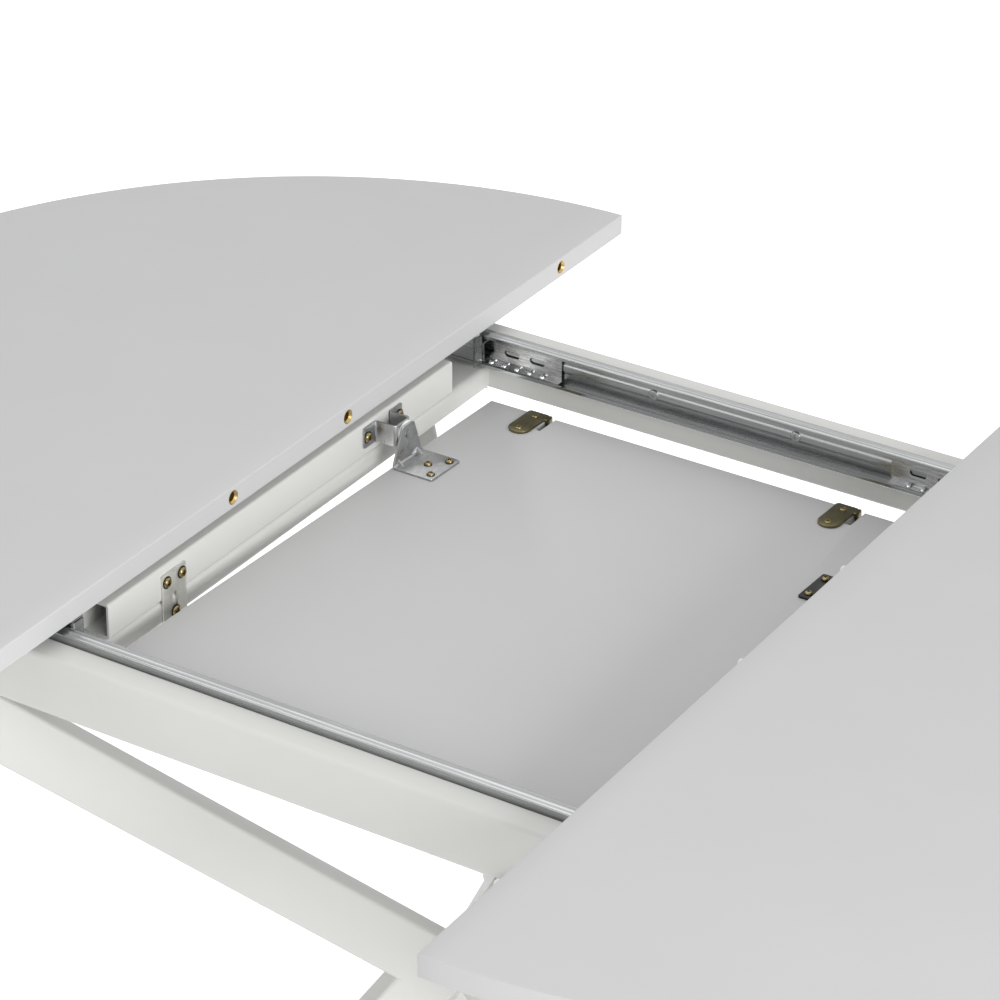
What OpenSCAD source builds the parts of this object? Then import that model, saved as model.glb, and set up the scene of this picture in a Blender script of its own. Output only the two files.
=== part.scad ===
// Round extending dining table with a folding butterfly leaf.
// The two half tops are drawn out and the leaf lies folded in the frame.
// Millimetres, +Z up, origin on the floor under the centre of the table.

/* [Top] */
// Height of the table from the floor to the top face
table_h = 750; // [700:1:790]
// Radius of the round top, and length of one leaf panel
top_r = 550; // [500:1:600]
// Thickness of the half tops and of the leaf panels
top_t = 20; // [16:0.5:24]
// Gap between the two half tops when they are drawn out
open_gap = 488.8; // [484:0.2:494]
// Gap between the underside of the top and the frame
top_clear = 10.6; // [9.2:0.2:12]

/* [Leaf] */
// Width of the leaf, which is what it adds to the table
leaf_w = 450; // [440:1:460]
// Depth of the folded leaf's upper face below the top face
leaf_drop = 72.7; // [70:0.1:76]
// Gap between the two panels of the folded leaf
panel_gap = 1; // [0.6:0.1:2]
// How far the folded leaf sits behind the table's centre
leaf_shift = 13; // [8:0.5:16]
// Slope of the folded leaf on its rest plates, with its front edge up
leaf_tilt = 2; // [1:0.1:3]

/* [Edge locators] */
// Place of the inner locators from the table's centre
locator_in_y = 85; // [70:1:100]
// Place of the outer locators from the table's centre
locator_out_y = 438; // [400:1:460]
// Radius of the nylon locator pins
pin_r = 4; // [3:0.1:5]
// How far a locator pin stands out of its edge
pin_out = 7; // [5:0.5:9]
// How deep a locator pin sits in its edge
pin_in = 16; // [12:1:20]
// Outer radius of the brass bushes
bush_r = 6.5; // [6:0.1:7]
// Depth of the brass bushes
bush_l = 14; // [12:1:20]
// Wall of a bush at its narrow bore
bush_wall = 2.2; // [1:0.1:2.4]
// Rim left round a bush's funnel mouth
bush_rim = 0.6; // [0.4:0.1:1]

/* [Frame] */
// Gap between the folded leaf's hinged edge and the back rail
rail_gap = 30; // [27:1:40]
// Width of the long rails
rail_w = 26; // [23:1:30]
// Height of the long rails
rail_h = 55; // [50:1:60]
// Length of the long rails
rail_len = 760; // [700:10:800]
// Wall of the frame's tubes
tube_wall = 2; // [1.5:0.1:2.5]
// Distance of the cross members' inner faces from the centre
cross_x = 246.9; // [245:0.1:250]
// Width of the lower cross rails
cross_rail_w = 50; // [40:1:60]
// Height of the lower cross rails
cross_rail_h = 23; // [18:1:25]
// Width of the upper cross tubes
cross_tube_w = 28; // [25:1:35]
// Height of the upper cross tubes
cross_tube_h = 32; // [28:0.5:33]
// Gap between an upper cross tube's end and the long rail
cross_tube_gap = 63; // [60:1:90]

/* [Slides] */
// Depth of the outer slide channels
channel_d = 12.5; // [12:0.5:14]
// Height of the outer slide channels
channel_h = 34.5; // [33:0.5:36]
// How far the outer slide channels stand above the rails
channel_rise = 6.35; // [5:0.05:7]
// Sheet thickness of the channels and runners
channel_t = 1.5; // [1.2:0.1:1.6]
// Height of the channels' turned lips
lip_h = 4; // [2:0.5:4.5]
// Depth of the pressed bead along a channel's web
bead_d = 1; // [0.5:0.1:1.4]
// Height of the pressed bead along a channel's web
bead_h = 6; // [4:0.5:8]
// Distance of a channel's screws from the centre
channel_screw_x = 72; // [60:1:90]
// Distance of a channel's outer screws from the centre
channel_end_x = 360; // [340:1:365]
// Length of the runners under the half tops
runner_len = 370; // [340:5:400]
// Height of the runners
runner_h = 20; // [18:0.5:21]
// How far a runner stands out of its channel's mouth
runner_out = 2; // [1.6:0.1:2.4]
// Gap behind a runner to the channel's web
runner_back = 5; // [4:0.5:7]
// Length of a ball cage
cage_len = 160; // [140:2:180]
// Distance of a ball cage's inner end from the centre
cage_x = 167; // [160:1:175]
// Sheet thickness of a ball cage
cage_t = 0.8; // [0.6:0.1:1]
// Distance from ball to ball
ball_pitch = 13.5; // [12:0.5:16]
// Running gap of balls, cages and glides
run_gap = 0.3; // [0.2:0.05:0.4]
// Sheet thickness of the carriages that carry the half tops
carriage_t = 2; // [1.6:0.1:2.4]
// Width of a carriage's flange under the top
carriage_w = 34; // [28:1:38]
// Depth of the return flange at a carriage's inner end
carriage_return = 12; // [8:1:16]

/* [Leaf pivots] */
// Thickness of the pivot plates, brackets and rest plates
plate_t = 2; // [1.5:0.1:2.5]
// Width of a pivot plate along the table's depth
pivot_plate_w = 46; // [42:1:50]
// Length of a pivot plate across the leaf
pivot_plate_len = 42; // [38:0.5:48]
// Width of a pivot plate's flange at its top
flange_w = 18; // [16:0.5:22]
// Height of a pivot plate's flange above the pivot
flange_rise = 9.5; // [8:0.5:12]
// How far a pivot plate's flange stands inside the leaf's edge
flange_in = 2; // [1.5:0.1:3]
// Radius of the nylon washers on the pivots
washer_r = 12; // [10:0.5:13]
// Radius of the pivot pins
pivot_pin_r = 3; // [2.5:0.1:4]
// Gap between a pivot plate's flange and its bracket
pivot_gap = 0.8; // [0.6:0.1:1.5]
// Width of a pivot bracket's crown
hat_w = 24; // [22:1:28]
// Height of a pivot bracket
hat_h = 20; // [18:1:24]
// Length of a pivot bracket's feet
hat_foot = 18; // [15:1:22]
// How far a pivot bracket's middle lies in front of its pivot
hat_shift = 3.6; // [2:0.1:5]
// How far a pivot bracket's middle lies above its pivot
hat_rise = 2.3; // [1:0.1:4]

/* [Rest plates] */
// Distance of a rest plate's middle from the folded leaf's front edge
rest_in = 93.1; // [80:0.1:110]
// Width of the rest plates
rest_w = 32; // [28:1:40]
// Depth of a rest plate's upper edge below the frame's top
rest_drop = 7.4; // [6:0.1:9]
// Length of a rest plate's shelf under the folded leaf
rest_shelf = 42; // [36:1:50]
// Gap between the shelf and the folded leaf
rest_gap = 0.3; // [0.2:0.05:0.4]
// Width of the slot in a rest plate
rest_slot_w = 7; // [6:0.1:8]
// Length of the slot in a rest plate
rest_slot_l = 27; // [23:1:30]

/* [Leaf hinges] */
// Place of the left leaf hinge
hinge_left_x = -173; // [-185:1:-160]
// Place of the right leaf hinge
hinge_right_x = 141; // [120:1:150]
// Width of a hinge plate
hinge_w = 21; // [18:1:24]
// Length of a hinge plate from the hinged edge
hinge_len = 45; // [40:1:50]
// Thickness of the hinge plates and arms
hinge_t = 2.5; // [2:0.1:3]
// Radius of the hinge pins
hinge_pin_r = 1.2; // [1:0.05:1.4]
// Radius of the arms' round ends
hinge_eye_r = 2.6; // [2.3:0.1:3]
// Length of the notches for the hinge arms
notch_len = 28; // [24:1:32]

/* [Legs] */
// Direction of the legs from the table's long axis
leg_az = 43.7; // [42:0.1:50]
// How far outside the rail's inner face a leg's upper edge meets it
leg_out = 7.8; // [5:0.1:16]
// Length of the flat land at a leg's ends
leg_land = 45; // [40:0.5:65]
// Height of the knees
knee_z = 315.9; // [305:0.1:330]
// How far the knees reach into the hub's round
knee_in = 27.7; // [16:0.1:30]
// How much steeper the lower arms are than the upper ones
lower_steep = 1.47; // [1:0.01:1.6]
// Depth of the leg tubes
leg_deep = 54.4; // [50:0.1:58]
// Width of the leg tubes
leg_wide = 27; // [25:0.5:32]
// Radius of the hub that joins the legs' knees
hub_r = 62; // [60:1:66]
// Height of the hub
hub_h = 56; // [52:1:60]
// Wall of the hub
hub_wall = 3; // [2:0.5:4]

/* [Feet] */
// Height of a glide's disc
glide_h = 5; // [4:0.5:7]
// Radius of a glide's disc
glide_r = 14; // [12:0.5:13.9]
// Gap between a glide's disc and its leg
glide_gap = 1; // [0.5:0.1:2]
// Radius of a glide's stud
stud_r = 4; // [3:0.5:5]
// Length of a glide's stud
stud_l = 20; // [16:1:22]
// Thickness of the plates that close the legs' ends
cap_t = 4; // [3:0.5:5]

/* [Catch plate] */
// Place of the catch plate's corner under the front rail
catch_x = 168.6; // [160:0.2:175]
// Length of the catch plate
catch_len = 60; // [50:1:70]
// Thickness of the catch plate
catch_t = 3; // [2:0.5:4]
// Radius of the hole in the catch plate
catch_hole_r = 2.5; // [2:0.1:3]

/* [Screws] */
// Radius of the slide screws' heads
channel_head_r = 5.3; // [5:0.1:5.6]
// Radius of the small screws' heads
head_r = 3.8; // [3.4:0.1:4.2]
// Radius of the heads of the screws in the cross members
tube_head_r = 5.6; // [5:0.1:6]
// Height of the screw heads
head_h = 1.8; // [1.4:0.1:2.2]
// Radius of the screw shanks
shank_r = 2; // [1.6:0.1:2.2]
// Length of the screws in the panels
shank_l = 12; // [10:1:13]
// Clearance of pins and screws in their holes
fit = 0.05; // [0.03:0.01:0.08]

/* [Hidden] */
$fn = 64;
// Overrun of cuts, so that no cut ends on a face
over = 1;

half_gap = open_gap / 2;
top_z = table_h - top_t;
mid_top_z = table_h - top_t / 2;
frame_top_z = top_z - top_clear;
rail_low_z = frame_top_z - rail_h;
cross_tube_low_z = rail_low_z + cross_rail_h;
cross_tube_mid_z = cross_tube_low_z + cross_tube_h / 2;
locator_ys = [-locator_out_y, -locator_in_y, locator_in_y, locator_out_y];

hinge_edge_y = top_r / 2 + leaf_shift;
rail_y = hinge_edge_y + rail_gap;
cross_tube_len = 2 * (rail_y - cross_tube_gap);
half_leaf = leaf_w / 2;
leaf_face_z = table_h - leaf_drop;
leaf_front_y = hinge_edge_y - top_r;
panel_a_z = leaf_face_z - top_t;
panel_b_z = panel_a_z - panel_gap - top_t;
fold_z = panel_a_z - panel_gap / 2;
pivot_y = hinge_edge_y / 2;
pivot_z = table_h - (top_t + leaf_drop) / 2;
leaf_locator_ys = [hinge_edge_y - locator_in_y, hinge_edge_y - locator_out_y];
mid_a_z = panel_a_z + top_t / 2;
mid_b_z = panel_b_z + top_t / 2;

channel_z = frame_top_z + channel_rise - channel_h / 2;
race = (channel_h / 2 - channel_t + runner_h / 2) / 2;
ball_r = (channel_h / 2 - channel_t - runner_h / 2) / 2 - run_gap;
// The cage's hole round a ball, the cage's web just clear of the screw heads, and the balls just clear of the web
ball_hole_r = ball_r + run_gap;
cage_back = channel_t + head_h + run_gap;
ball_d = cage_back + cage_t + ball_hole_r;
balls = floor(cage_len / ball_pitch) - 1;
first_ball = (cage_len - (balls - 1) * ball_pitch) / 2;
// Two ball pitches from slot to slot, and the slots' size along the cage
cage_slot_pitch = 2 * ball_pitch;
cage_slots = floor(cage_len / cage_slot_pitch);
cage_slot_l_share = 0.6;
cage_slot_h_share = 0.5;
first_slot = (cage_len - (cage_slots - 1) * cage_slot_pitch) / 2;
runner_face_d = channel_d + runner_out;
carriage_y = rail_y - runner_face_d;
carriage_screw_shares = [0.1, 0.5, 0.9];

flange_x = half_leaf - flange_in;
crown_x = flange_x + pivot_gap;
rivet_r = 1.3 * pivot_pin_r;
hat_y = pivot_y - hat_shift;
hat_z = pivot_z + hat_rise;
hat_screw_share = 0.72;
hat_screw = hat_w / 2 + hat_screw_share * hat_foot;
base_in_x = flange_x - pivot_plate_len;
// Screws of the pivot plate, as shares of its half width and of its length
pivot_screw_shares = [[0, 0.45], [-0.65, 0.15], [0.65, 0.15]];

rest_y = leaf_front_y + rest_in;
rest_top_z = frame_top_z - rest_drop;
// The folded leaf's underside where its slope meets the shelf's back edge
rest_touch_z = pivot_z - (pivot_z - panel_b_z) / cos(leaf_tilt)
    + (pivot_y - rest_y - rest_w / 2) * tan(leaf_tilt);
rest_shelf_z = rest_touch_z - rest_gap;
rest_slot_z = rail_low_z + rest_slot_l / 2;
rest_low_screw_z = rest_slot_z - rest_slot_l / 5;
rest_screw_z = rest_top_z - 1.4 * tube_head_r;
rest_screw_share = 0.32;

hinge_xs = [hinge_left_x, hinge_right_x];
// The arms lie side by side in a notch, with the same gap at each face
arm_gap = run_gap;
arm_a_x = hinge_w / 2 + arm_gap;
arm_b_x = arm_a_x + hinge_t + arm_gap;
notch_x = hinge_w / 2;
notch_w = 2 * hinge_t + 5 * arm_gap;
arm_w = 4 * hinge_eye_r;
hinge_edge_screw_share = 0.2;
hinge_end_screw_share = 0.82;

leg_reach = (rail_y + leg_out) / sin(leg_az);
// The slope that takes a leg's upper edge from the rail to its knee
leg_rise = (rail_low_z - knee_z) / (leg_reach - hub_r + knee_in);
lower_rise = leg_rise * lower_steep;
// The knees' outer corners, where the arms' outer edges meet
knee_r = hub_r - knee_in + leg_deep / sin(atan(leg_rise));
foot_z = glide_h + glide_gap;
foot_r = arm_radius(knee_z - foot_z, lower_rise, leg_deep) + leg_land / 2;
leg_dirs = [leg_az, 180 - leg_az, 180 + leg_az, -leg_az];

catch_y = -rail_y - rail_w / 2;
// Outline of the catch plate, as shares of its length from its corner
catch_shares = [[0, 0], [0.12, -0.17], [0.19, -0.56], [1, -0.56], [1, 0]];
catch_hole_shares = [0.17, -0.1];

white = [0.86, 0.86, 0.85];
top_grey = [0.80, 0.80, 0.80];
zinc = [0.68, 0.70, 0.72];
bright_steel = [0.80, 0.81, 0.83];
brass = [0.72, 0.58, 0.30];
olive_brass = [0.52, 0.46, 0.26];
nylon = [0.95, 0.95, 0.93];
dark = [0.15, 0.15, 0.15];

// A block from its low corner to its high corner
module block(low, high) {
    translate(low)
        cube(high - low);
}

// The same shape on the left, and mirrored on the right
module on_side(side) {
    if (side < 0)
        children();
    else
        mirror([1, 0, 0])
            children();
}

// The same shape at the front, and mirrored at the back
module front_and_back() {
    children();
    mirror([0, 1, 0])
        children();
}

// A round bar along +X from the given place
module bar_x(place, radius, length) {
    translate(place)
        rotate([0, 90, 0])
            cylinder(r = radius, h = length);
}

// A screw at the origin with its head above z = 0
module screw(big_r, depth) {
    cylinder(r = big_r, h = head_h);
    translate([0, 0, -depth])
        cylinder(r = shank_r, h = depth);
}

// The hole for such a screw
module screw_hole(depth) {
    translate([0, 0, -depth - fit])
        cylinder(r = shank_r + fit, h = depth + fit + over);
}

// Turns a screw so that its head looks along +X or -X
module face_x(place, way) {
    translate(place)
        rotate([0, way * 90, 0])
            children();
}

// Turns a screw so that its head looks along +Y
module face_y(place) {
    translate(place)
        rotate([-90, 0, 0])
            children();
}

// Half tops

module half_top_shape() {
    difference() {
        translate([-half_gap, 0, top_z])
            cylinder(r = top_r, h = top_t, $fn = 180);
        block([-half_gap, -top_r - over, top_z - over], [top_r, top_r + over, table_h + over]);
        carriage_places()
            top_screw_hole();
    }
}

module top_screw_hole() {
    translate([0, 0, -over])
        cylinder(r = shank_r + fit, h = shank_l + fit + over);
}

// A funnel-mouthed bush whose face is at the origin and looks along +X
module bush() {
    difference() {
        bar_x([-bush_l, 0, 0], bush_r, bush_l);
        bar_x([-bush_l - over, 0, 0], bush_r - bush_wall, bush_l + 2 * over);
        rotate([0, -90, 0])
            cylinder(r1 = bush_r - bush_rim, r2 = bush_r - bush_wall, h = bush_wall);
    }
}

// The bore for a bush, as deep as a locator pin may need
module bush_bore() {
    bar_x([-bush_l - fit, 0, 0], bush_r + fit, bush_l + over);
}

// A locator pin that stands out along -X from a face at the origin
module locator_pin() {
    tip = pin_r / 4;
    bar_x([-pin_out + tip, 0, 0], pin_r, pin_out - tip + pin_in);
    translate([-pin_out + tip, 0, 0])
        rotate([0, -90, 0])
            cylinder(r1 = pin_r, r2 = pin_r - tip, h = tip);
}

module pin_bore() {
    bar_x([-over, 0, 0], pin_r + fit, pin_in + over + fit);
}

module left_top() {
    color(top_grey)
        difference() {
            half_top_shape();
            for (y = locator_ys)
                translate([-half_gap, y, mid_top_z])
                    bush_bore();
        }
}

module right_top() {
    color(top_grey)
        difference() {
            mirror([1, 0, 0])
                half_top_shape();
            for (y = locator_ys)
                translate([half_gap, y, mid_top_z])
                    pin_bore();
        }
}

module left_top_bushes() {
    color(brass)
        for (y = locator_ys)
            translate([-half_gap, y, mid_top_z])
                bush();
}

module right_top_pins() {
    color(nylon)
        for (y = locator_ys)
            translate([half_gap, y, mid_top_z])
                locator_pin();
}

// Frame

module rail() {
    block([-rail_len / 2, -rail_y - rail_w, rail_low_z], [rail_len / 2, -rail_y, frame_top_z]);
}

module rail_hollow() {
    block([-rail_len / 2 - over, -rail_y - rail_w + tube_wall, rail_low_z + tube_wall],
        [rail_len / 2 + over, -rail_y - tube_wall, frame_top_z - tube_wall]);
}

module channel_screw_places() {
    for (x = [-channel_end_x, -channel_screw_x, channel_screw_x, channel_end_x])
        face_y([x, -rail_y + channel_t, channel_z])
            children();
}

module long_rail() {
    color(white)
        difference() {
            rail();
            rail_hollow();
            channel_screw_places()
                screw_hole(channel_t + tube_wall + over);
        }
}

module front_rail() {
    long_rail();
}

module back_rail() {
    mirror([0, 1, 0])
        long_rail();
}

module cross_rail(side) {
    color(white)
        on_side(side)
            difference() {
                block([-cross_x - cross_rail_w, -rail_y, rail_low_z], [-cross_x, rail_y, cross_tube_low_z]);
                block([-cross_x - cross_rail_w + tube_wall, -rail_y - over, rail_low_z + tube_wall],
                    [-cross_x - tube_wall, rail_y + over, cross_tube_low_z - tube_wall]);
                face_x([-cross_x + plate_t, rest_y, rest_low_screw_z], 1)
                    screw_hole(plate_t + tube_wall + over);
            }
}

module cross_tube(side) {
    color(white)
        on_side(side)
            difference() {
                block([-cross_x - cross_tube_w, -cross_tube_len / 2, cross_tube_low_z],
                    [-cross_x, cross_tube_len / 2, cross_tube_low_z + cross_tube_h]);
                block([-cross_x - cross_tube_w + tube_wall, -cross_tube_len / 2 - over, cross_tube_low_z + tube_wall],
                    [-cross_x - tube_wall, cross_tube_len / 2 + over, cross_tube_low_z + cross_tube_h - tube_wall]);
                hat_screw_places()
                    screw_hole(plate_t + tube_wall + over);
                rest_screw_places()
                    screw_hole(plate_t + tube_wall + over);
            }
}

module left_cross_rail() { cross_rail(-1); }
module right_cross_rail() { cross_rail(1); }
module left_cross_tube() { cross_tube(-1); }
module right_cross_tube() { cross_tube(1); }

// Slides

// A slide's section: x is the distance from the rail's face, y the height from the slide's middle
module channel_section() {
    difference() {
        translate([0, -channel_h / 2])
            square([channel_d, channel_h]);
        translate([channel_t, -channel_h / 2 + channel_t])
            square([channel_d - 2 * channel_t, channel_h - 2 * channel_t]);
        translate([channel_t, -channel_h / 2 + lip_h])
            square([channel_d, channel_h - 2 * lip_h]);
    }
    translate([channel_t, -bead_h / 2])
        square([bead_d, bead_h]);
}

module runner_section() {
    difference() {
        translate([runner_back, -runner_h / 2])
            square([runner_face_d - runner_back, runner_h]);
        translate([runner_back - over, -runner_h / 2 + channel_t])
            square([runner_face_d - runner_back - channel_t + over, runner_h - 2 * channel_t]);
    }
}

module cage_section() {
    outer = race + cage_t / 2;
    difference() {
        translate([cage_back, -outer])
            square([ball_d + ball_hole_r + cage_t / 2 - cage_back, 2 * outer]);
        translate([cage_back + cage_t, -outer + cage_t])
            square([channel_d, 2 * (outer - cage_t)]);
    }
}

// Sweeps a slide's section along X at the front rail
module along_front_slide(low_x, length) {
    translate([low_x, -rail_y, channel_z])
        rotate([90, 0, 90])
            linear_extrude(length)
                children();
}

module channel() {
    color(zinc)
        difference() {
            along_front_slide(-rail_len / 2, rail_len)
                channel_section();
            channel_screw_places() {
                translate([0, 0, -channel_t - over])
                    cylinder(r = shank_r + fit, h = channel_t + 2 * over);
                cylinder(r = channel_head_r + fit, h = channel_d / 2);
            }
        }
}

module front_channel() { channel(); }

module back_channel() {
    mirror([0, 1, 0])
        channel();
}

module channel_screws() {
    color(zinc)
        front_and_back()
            channel_screw_places()
                screw(channel_head_r, channel_t + tube_wall);
}

module runners(side) {
    color(zinc)
        on_side(side)
            front_and_back()
                along_front_slide(-half_gap - runner_len, runner_len)
                    runner_section();
}

module left_runners() { runners(-1); }
module right_runners() { runners(1); }

module cage_ball_places() {
    for (n = [0:balls - 1], way = [-1, 1])
        translate([-cage_x - cage_len + first_ball + n * ball_pitch, -rail_y + ball_d, channel_z + way * race])
            children();
}

module cages(side) {
    color(bright_steel)
        on_side(side)
            front_and_back()
                difference() {
                    along_front_slide(-cage_x - cage_len, cage_len)
                        cage_section();
                    cage_ball_places()
                        translate([0, 0, -over])
                            cylinder(r = ball_hole_r, h = 2 * over, $fn = 24);
                    for (n = [0:cage_slots - 1])
                        cage_slot(-cage_x - cage_len + first_slot + n * cage_slot_pitch);
                }
}

// One long hole with round ends in a cage's web
module cage_slot(x) {
    slot_r = cage_slot_h_share * race / 2;
    half = cage_slot_l_share * cage_slot_pitch / 2 - slot_r;
    for (place = [x - half, x + half])
        face_y([place, -rail_y, channel_z])
            cylinder(r = slot_r, h = cage_back + cage_t + over, $fn = 24);
    block([x - half, -rail_y, channel_z - slot_r], [x + half, -rail_y + cage_back + cage_t + over, channel_z + slot_r]);
}

module cage_balls(side) {
    color(bright_steel)
        on_side(side)
            front_and_back()
                cage_ball_places()
                    sphere(r = ball_r, $fn = 24);
}

module left_cages() { cages(-1); }
module right_cages() { cages(1); }
module left_balls() { cage_balls(-1); }
module right_balls() { cage_balls(1); }

// Places of a carriage's screws under the left half top, front and back
module carriage_places() {
    front_and_back()
        for (share = carriage_screw_shares)
            translate([-half_gap - share * runner_len, -carriage_y + carriage_t + carriage_w / 2, top_z])
                children();
}

module carriages(side) {
    low_z = channel_z - runner_h / 2;
    inner = -carriage_y + carriage_t;
    color(zinc)
        on_side(side)
            difference() {
                front_and_back() {
                    block([-half_gap - runner_len, -carriage_y, low_z], [-half_gap, inner, top_z]);
                    block([-half_gap - runner_len, inner, top_z - carriage_t], [-half_gap, inner + carriage_w, top_z]);
                    block([-half_gap - carriage_t, inner, low_z], [-half_gap, inner + carriage_return, top_z - carriage_t]);
                }
                carriage_places()
                    translate([0, 0, -carriage_t - over])
                        cylinder(r = shank_r + fit, h = carriage_t + 2 * over);
            }
}

module carriage_screws(side) {
    color(zinc)
        on_side(side)
            carriage_places()
                translate([0, 0, -carriage_t])
                    mirror([0, 0, 1])
                        screw(head_r, carriage_t + shank_l);
}

module left_carriages() { carriages(-1); }
module right_carriages() { carriages(1); }
module left_carriage_screws() { carriage_screws(-1); }
module right_carriage_screws() { carriage_screws(1); }

// Leaf pivots

// Lays what belongs to the level leaf on its rest plates, turned about the pivots
module resting() {
    translate([0, pivot_y, pivot_z])
        rotate([-leaf_tilt, 0, 0])
            translate([0, -pivot_y, -pivot_z])
                children();
}

module hat_screw_places() {
    for (way = [-1, 1])
        face_x([-cross_x + plate_t, hat_y + way * hat_screw, hat_z], 1)
            children();
}

module pivot_bracket(side) {
    low_z = hat_z - hat_h / 2;
    high_z = hat_z + hat_h / 2;
    near = hat_y - hat_w / 2;
    far = hat_y + hat_w / 2;
    color(bright_steel)
        on_side(side)
            difference() {
                union() {
                    block([-crown_x - plate_t, near, low_z], [-crown_x, far, high_z]);
                    block([-cross_x, near, low_z], [-crown_x - plate_t, near + plate_t, high_z]);
                    block([-cross_x, far - plate_t, low_z], [-crown_x - plate_t, far, high_z]);
                    block([-cross_x, near - hat_foot, low_z], [-cross_x + plate_t, near, high_z]);
                    block([-cross_x, far, low_z], [-cross_x + plate_t, far + hat_foot, high_z]);
                }
                bar_x([-crown_x - plate_t - over, pivot_y, pivot_z], pivot_pin_r + fit, plate_t + 2 * over);
                hat_screw_places()
                    screw_hole(plate_t + over);
            }
}

module left_pivot_bracket() { pivot_bracket(-1); }
module right_pivot_bracket() { pivot_bracket(1); }

module bracket_screws() {
    color(brass)
        for (side = [-1, 1])
            on_side(side)
                hat_screw_places()
                    screw(tube_head_r, plate_t + tube_wall);
}

// A rivet through the bracket's crown, the washer and the pivot plate's eye
module pivot_pins() {
    inner_x = -flange_x + plate_t + run_gap;
    outer_x = -crown_x - plate_t;
    color(bright_steel)
        for (side = [-1, 1])
            on_side(side) {
                bar_x([outer_x - plate_t, pivot_y, pivot_z], pivot_pin_r, inner_x - outer_x + plate_t);
                bar_x([outer_x - plate_t, pivot_y, pivot_z], rivet_r, plate_t);
                bar_x([inner_x, pivot_y, pivot_z], rivet_r, plate_t);
            }
}

module pivot_washers() {
    color(nylon)
        for (side = [-1, 1])
            on_side(side)
                difference() {
                    bar_x([-crown_x, pivot_y, pivot_z], washer_r, pivot_gap - run_gap);
                    bar_x([-crown_x - over, pivot_y, pivot_z], pivot_pin_r + fit, pivot_gap + over);
                }
}

module pivot_plate_screw_places() {
    for (share = pivot_screw_shares)
        translate([-base_in_x - share[1] * pivot_plate_len, pivot_y + share[0] * pivot_plate_w / 2,
            leaf_face_z + plate_t])
            children();
}

module pivot_plate(side) {
    half_w = pivot_plate_w / 2;
    color(bright_steel)
        resting()
            on_side(side)
                difference() {
                    union() {
                        block([-flange_x, pivot_y - half_w, leaf_face_z],
                            [-base_in_x, pivot_y + half_w, leaf_face_z + plate_t]);
                        translate([-flange_x, pivot_y, pivot_z])
                            rotate([90, 0, 90])
                                linear_extrude(plate_t)
                                    polygon([[-half_w, leaf_face_z - pivot_z], [half_w, leaf_face_z - pivot_z],
                                        [flange_w / 2, flange_rise], [-flange_w / 2, flange_rise]]);
                    }
                    bar_x([-flange_x - over, pivot_y, pivot_z], pivot_pin_r + fit, plate_t + 2 * over);
                    pivot_plate_screw_places()
                        screw_hole(plate_t + over);
                }
}

module left_pivot_plate() { pivot_plate(-1); }
module right_pivot_plate() { pivot_plate(1); }

module pivot_plate_screws() {
    color(brass)
        resting()
            for (side = [-1, 1])
                on_side(side)
                    pivot_plate_screw_places()
                        screw(head_r, plate_t + shank_l);
}

// Rest plates

module rest_screw_places() {
    for (way = [-1, 1])
        face_x([-cross_x + plate_t, rest_y + way * rest_screw_share * rest_w, rest_screw_z], 1)
            children();
}

module rest_plate(side) {
    near = rest_y - rest_w / 2;
    far = rest_y + rest_w / 2;
    slot = rest_slot_l / 2 - rest_slot_w / 2;
    color(zinc)
        on_side(side)
            difference() {
                union() {
                    block([-cross_x, near, rest_shelf_z - plate_t], [-cross_x + plate_t, far, rest_top_z]);
                    block([-cross_x + plate_t, near, rest_shelf_z - plate_t],
                        [-cross_x + rest_shelf, far, rest_shelf_z]);
                }
                for (z = [rest_slot_z - slot, rest_slot_z + slot])
                    bar_x([-cross_x - over, rest_y, z], rest_slot_w / 2, plate_t + 2 * over);
                block([-cross_x - over, rest_y - rest_slot_w / 2, rest_slot_z - slot],
                    [-cross_x + plate_t + over, rest_y + rest_slot_w / 2, rest_slot_z + slot]);
                rest_screw_places()
                    screw_hole(plate_t + over);
            }
}

module left_rest_plate() { rest_plate(-1); }
module right_rest_plate() { rest_plate(1); }

module rest_plate_screws() {
    color(brass)
        for (side = [-1, 1])
            on_side(side) {
                rest_screw_places()
                    screw(tube_head_r, plate_t + tube_wall);
                face_x([-cross_x + plate_t, rest_y, rest_low_screw_z], 1)
                    screw(tube_head_r, plate_t + tube_wall);
            }
}

// Leaf panels

module leaf_panel(low_z) {
    difference() {
        block([-half_leaf, leaf_front_y, low_z], [half_leaf, hinge_edge_y, low_z + top_t]);
        for (x = hinge_xs)
            block([x + notch_x, hinge_edge_y - notch_len, low_z - over],
                [x + notch_x + notch_w, hinge_edge_y + over, low_z + top_t + over]);
        for (y = leaf_locator_ys) {
            translate([-half_leaf, y, low_z + top_t / 2])
                pin_bore();
            translate([half_leaf, y, low_z + top_t / 2])
                bush_bore();
        }
    }
}

module leaf_pins(mid_z) {
    color(nylon)
        resting()
            for (y = leaf_locator_ys)
                translate([-half_leaf, y, mid_z])
                    locator_pin();
}

module leaf_bushes(mid_z) {
    color(brass)
        resting()
            for (y = leaf_locator_ys)
                translate([half_leaf, y, mid_z])
                    bush();
}

module leaf_panel_a() {
    color(top_grey)
        resting()
            difference() {
                leaf_panel(panel_a_z);
                for (side = [-1, 1])
                    on_side(side)
                        pivot_plate_screw_places()
                            screw_hole(plate_t + shank_l);
                hinge_screw_places()
                    screw_hole(hinge_t + shank_l);
            }
}

module leaf_panel_b() {
    color(top_grey)
        resting()
            difference() {
                leaf_panel(panel_b_z);
                under_fold()
                    hinge_screw_places()
                        screw_hole(hinge_t + shank_l);
            }
}

module leaf_pins_a() { leaf_pins(mid_a_z); }
module leaf_pins_b() { leaf_pins(mid_b_z); }
module leaf_bushes_a() { leaf_bushes(mid_a_z); }
module leaf_bushes_b() { leaf_bushes(mid_b_z); }

// Leaf hinges

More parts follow.
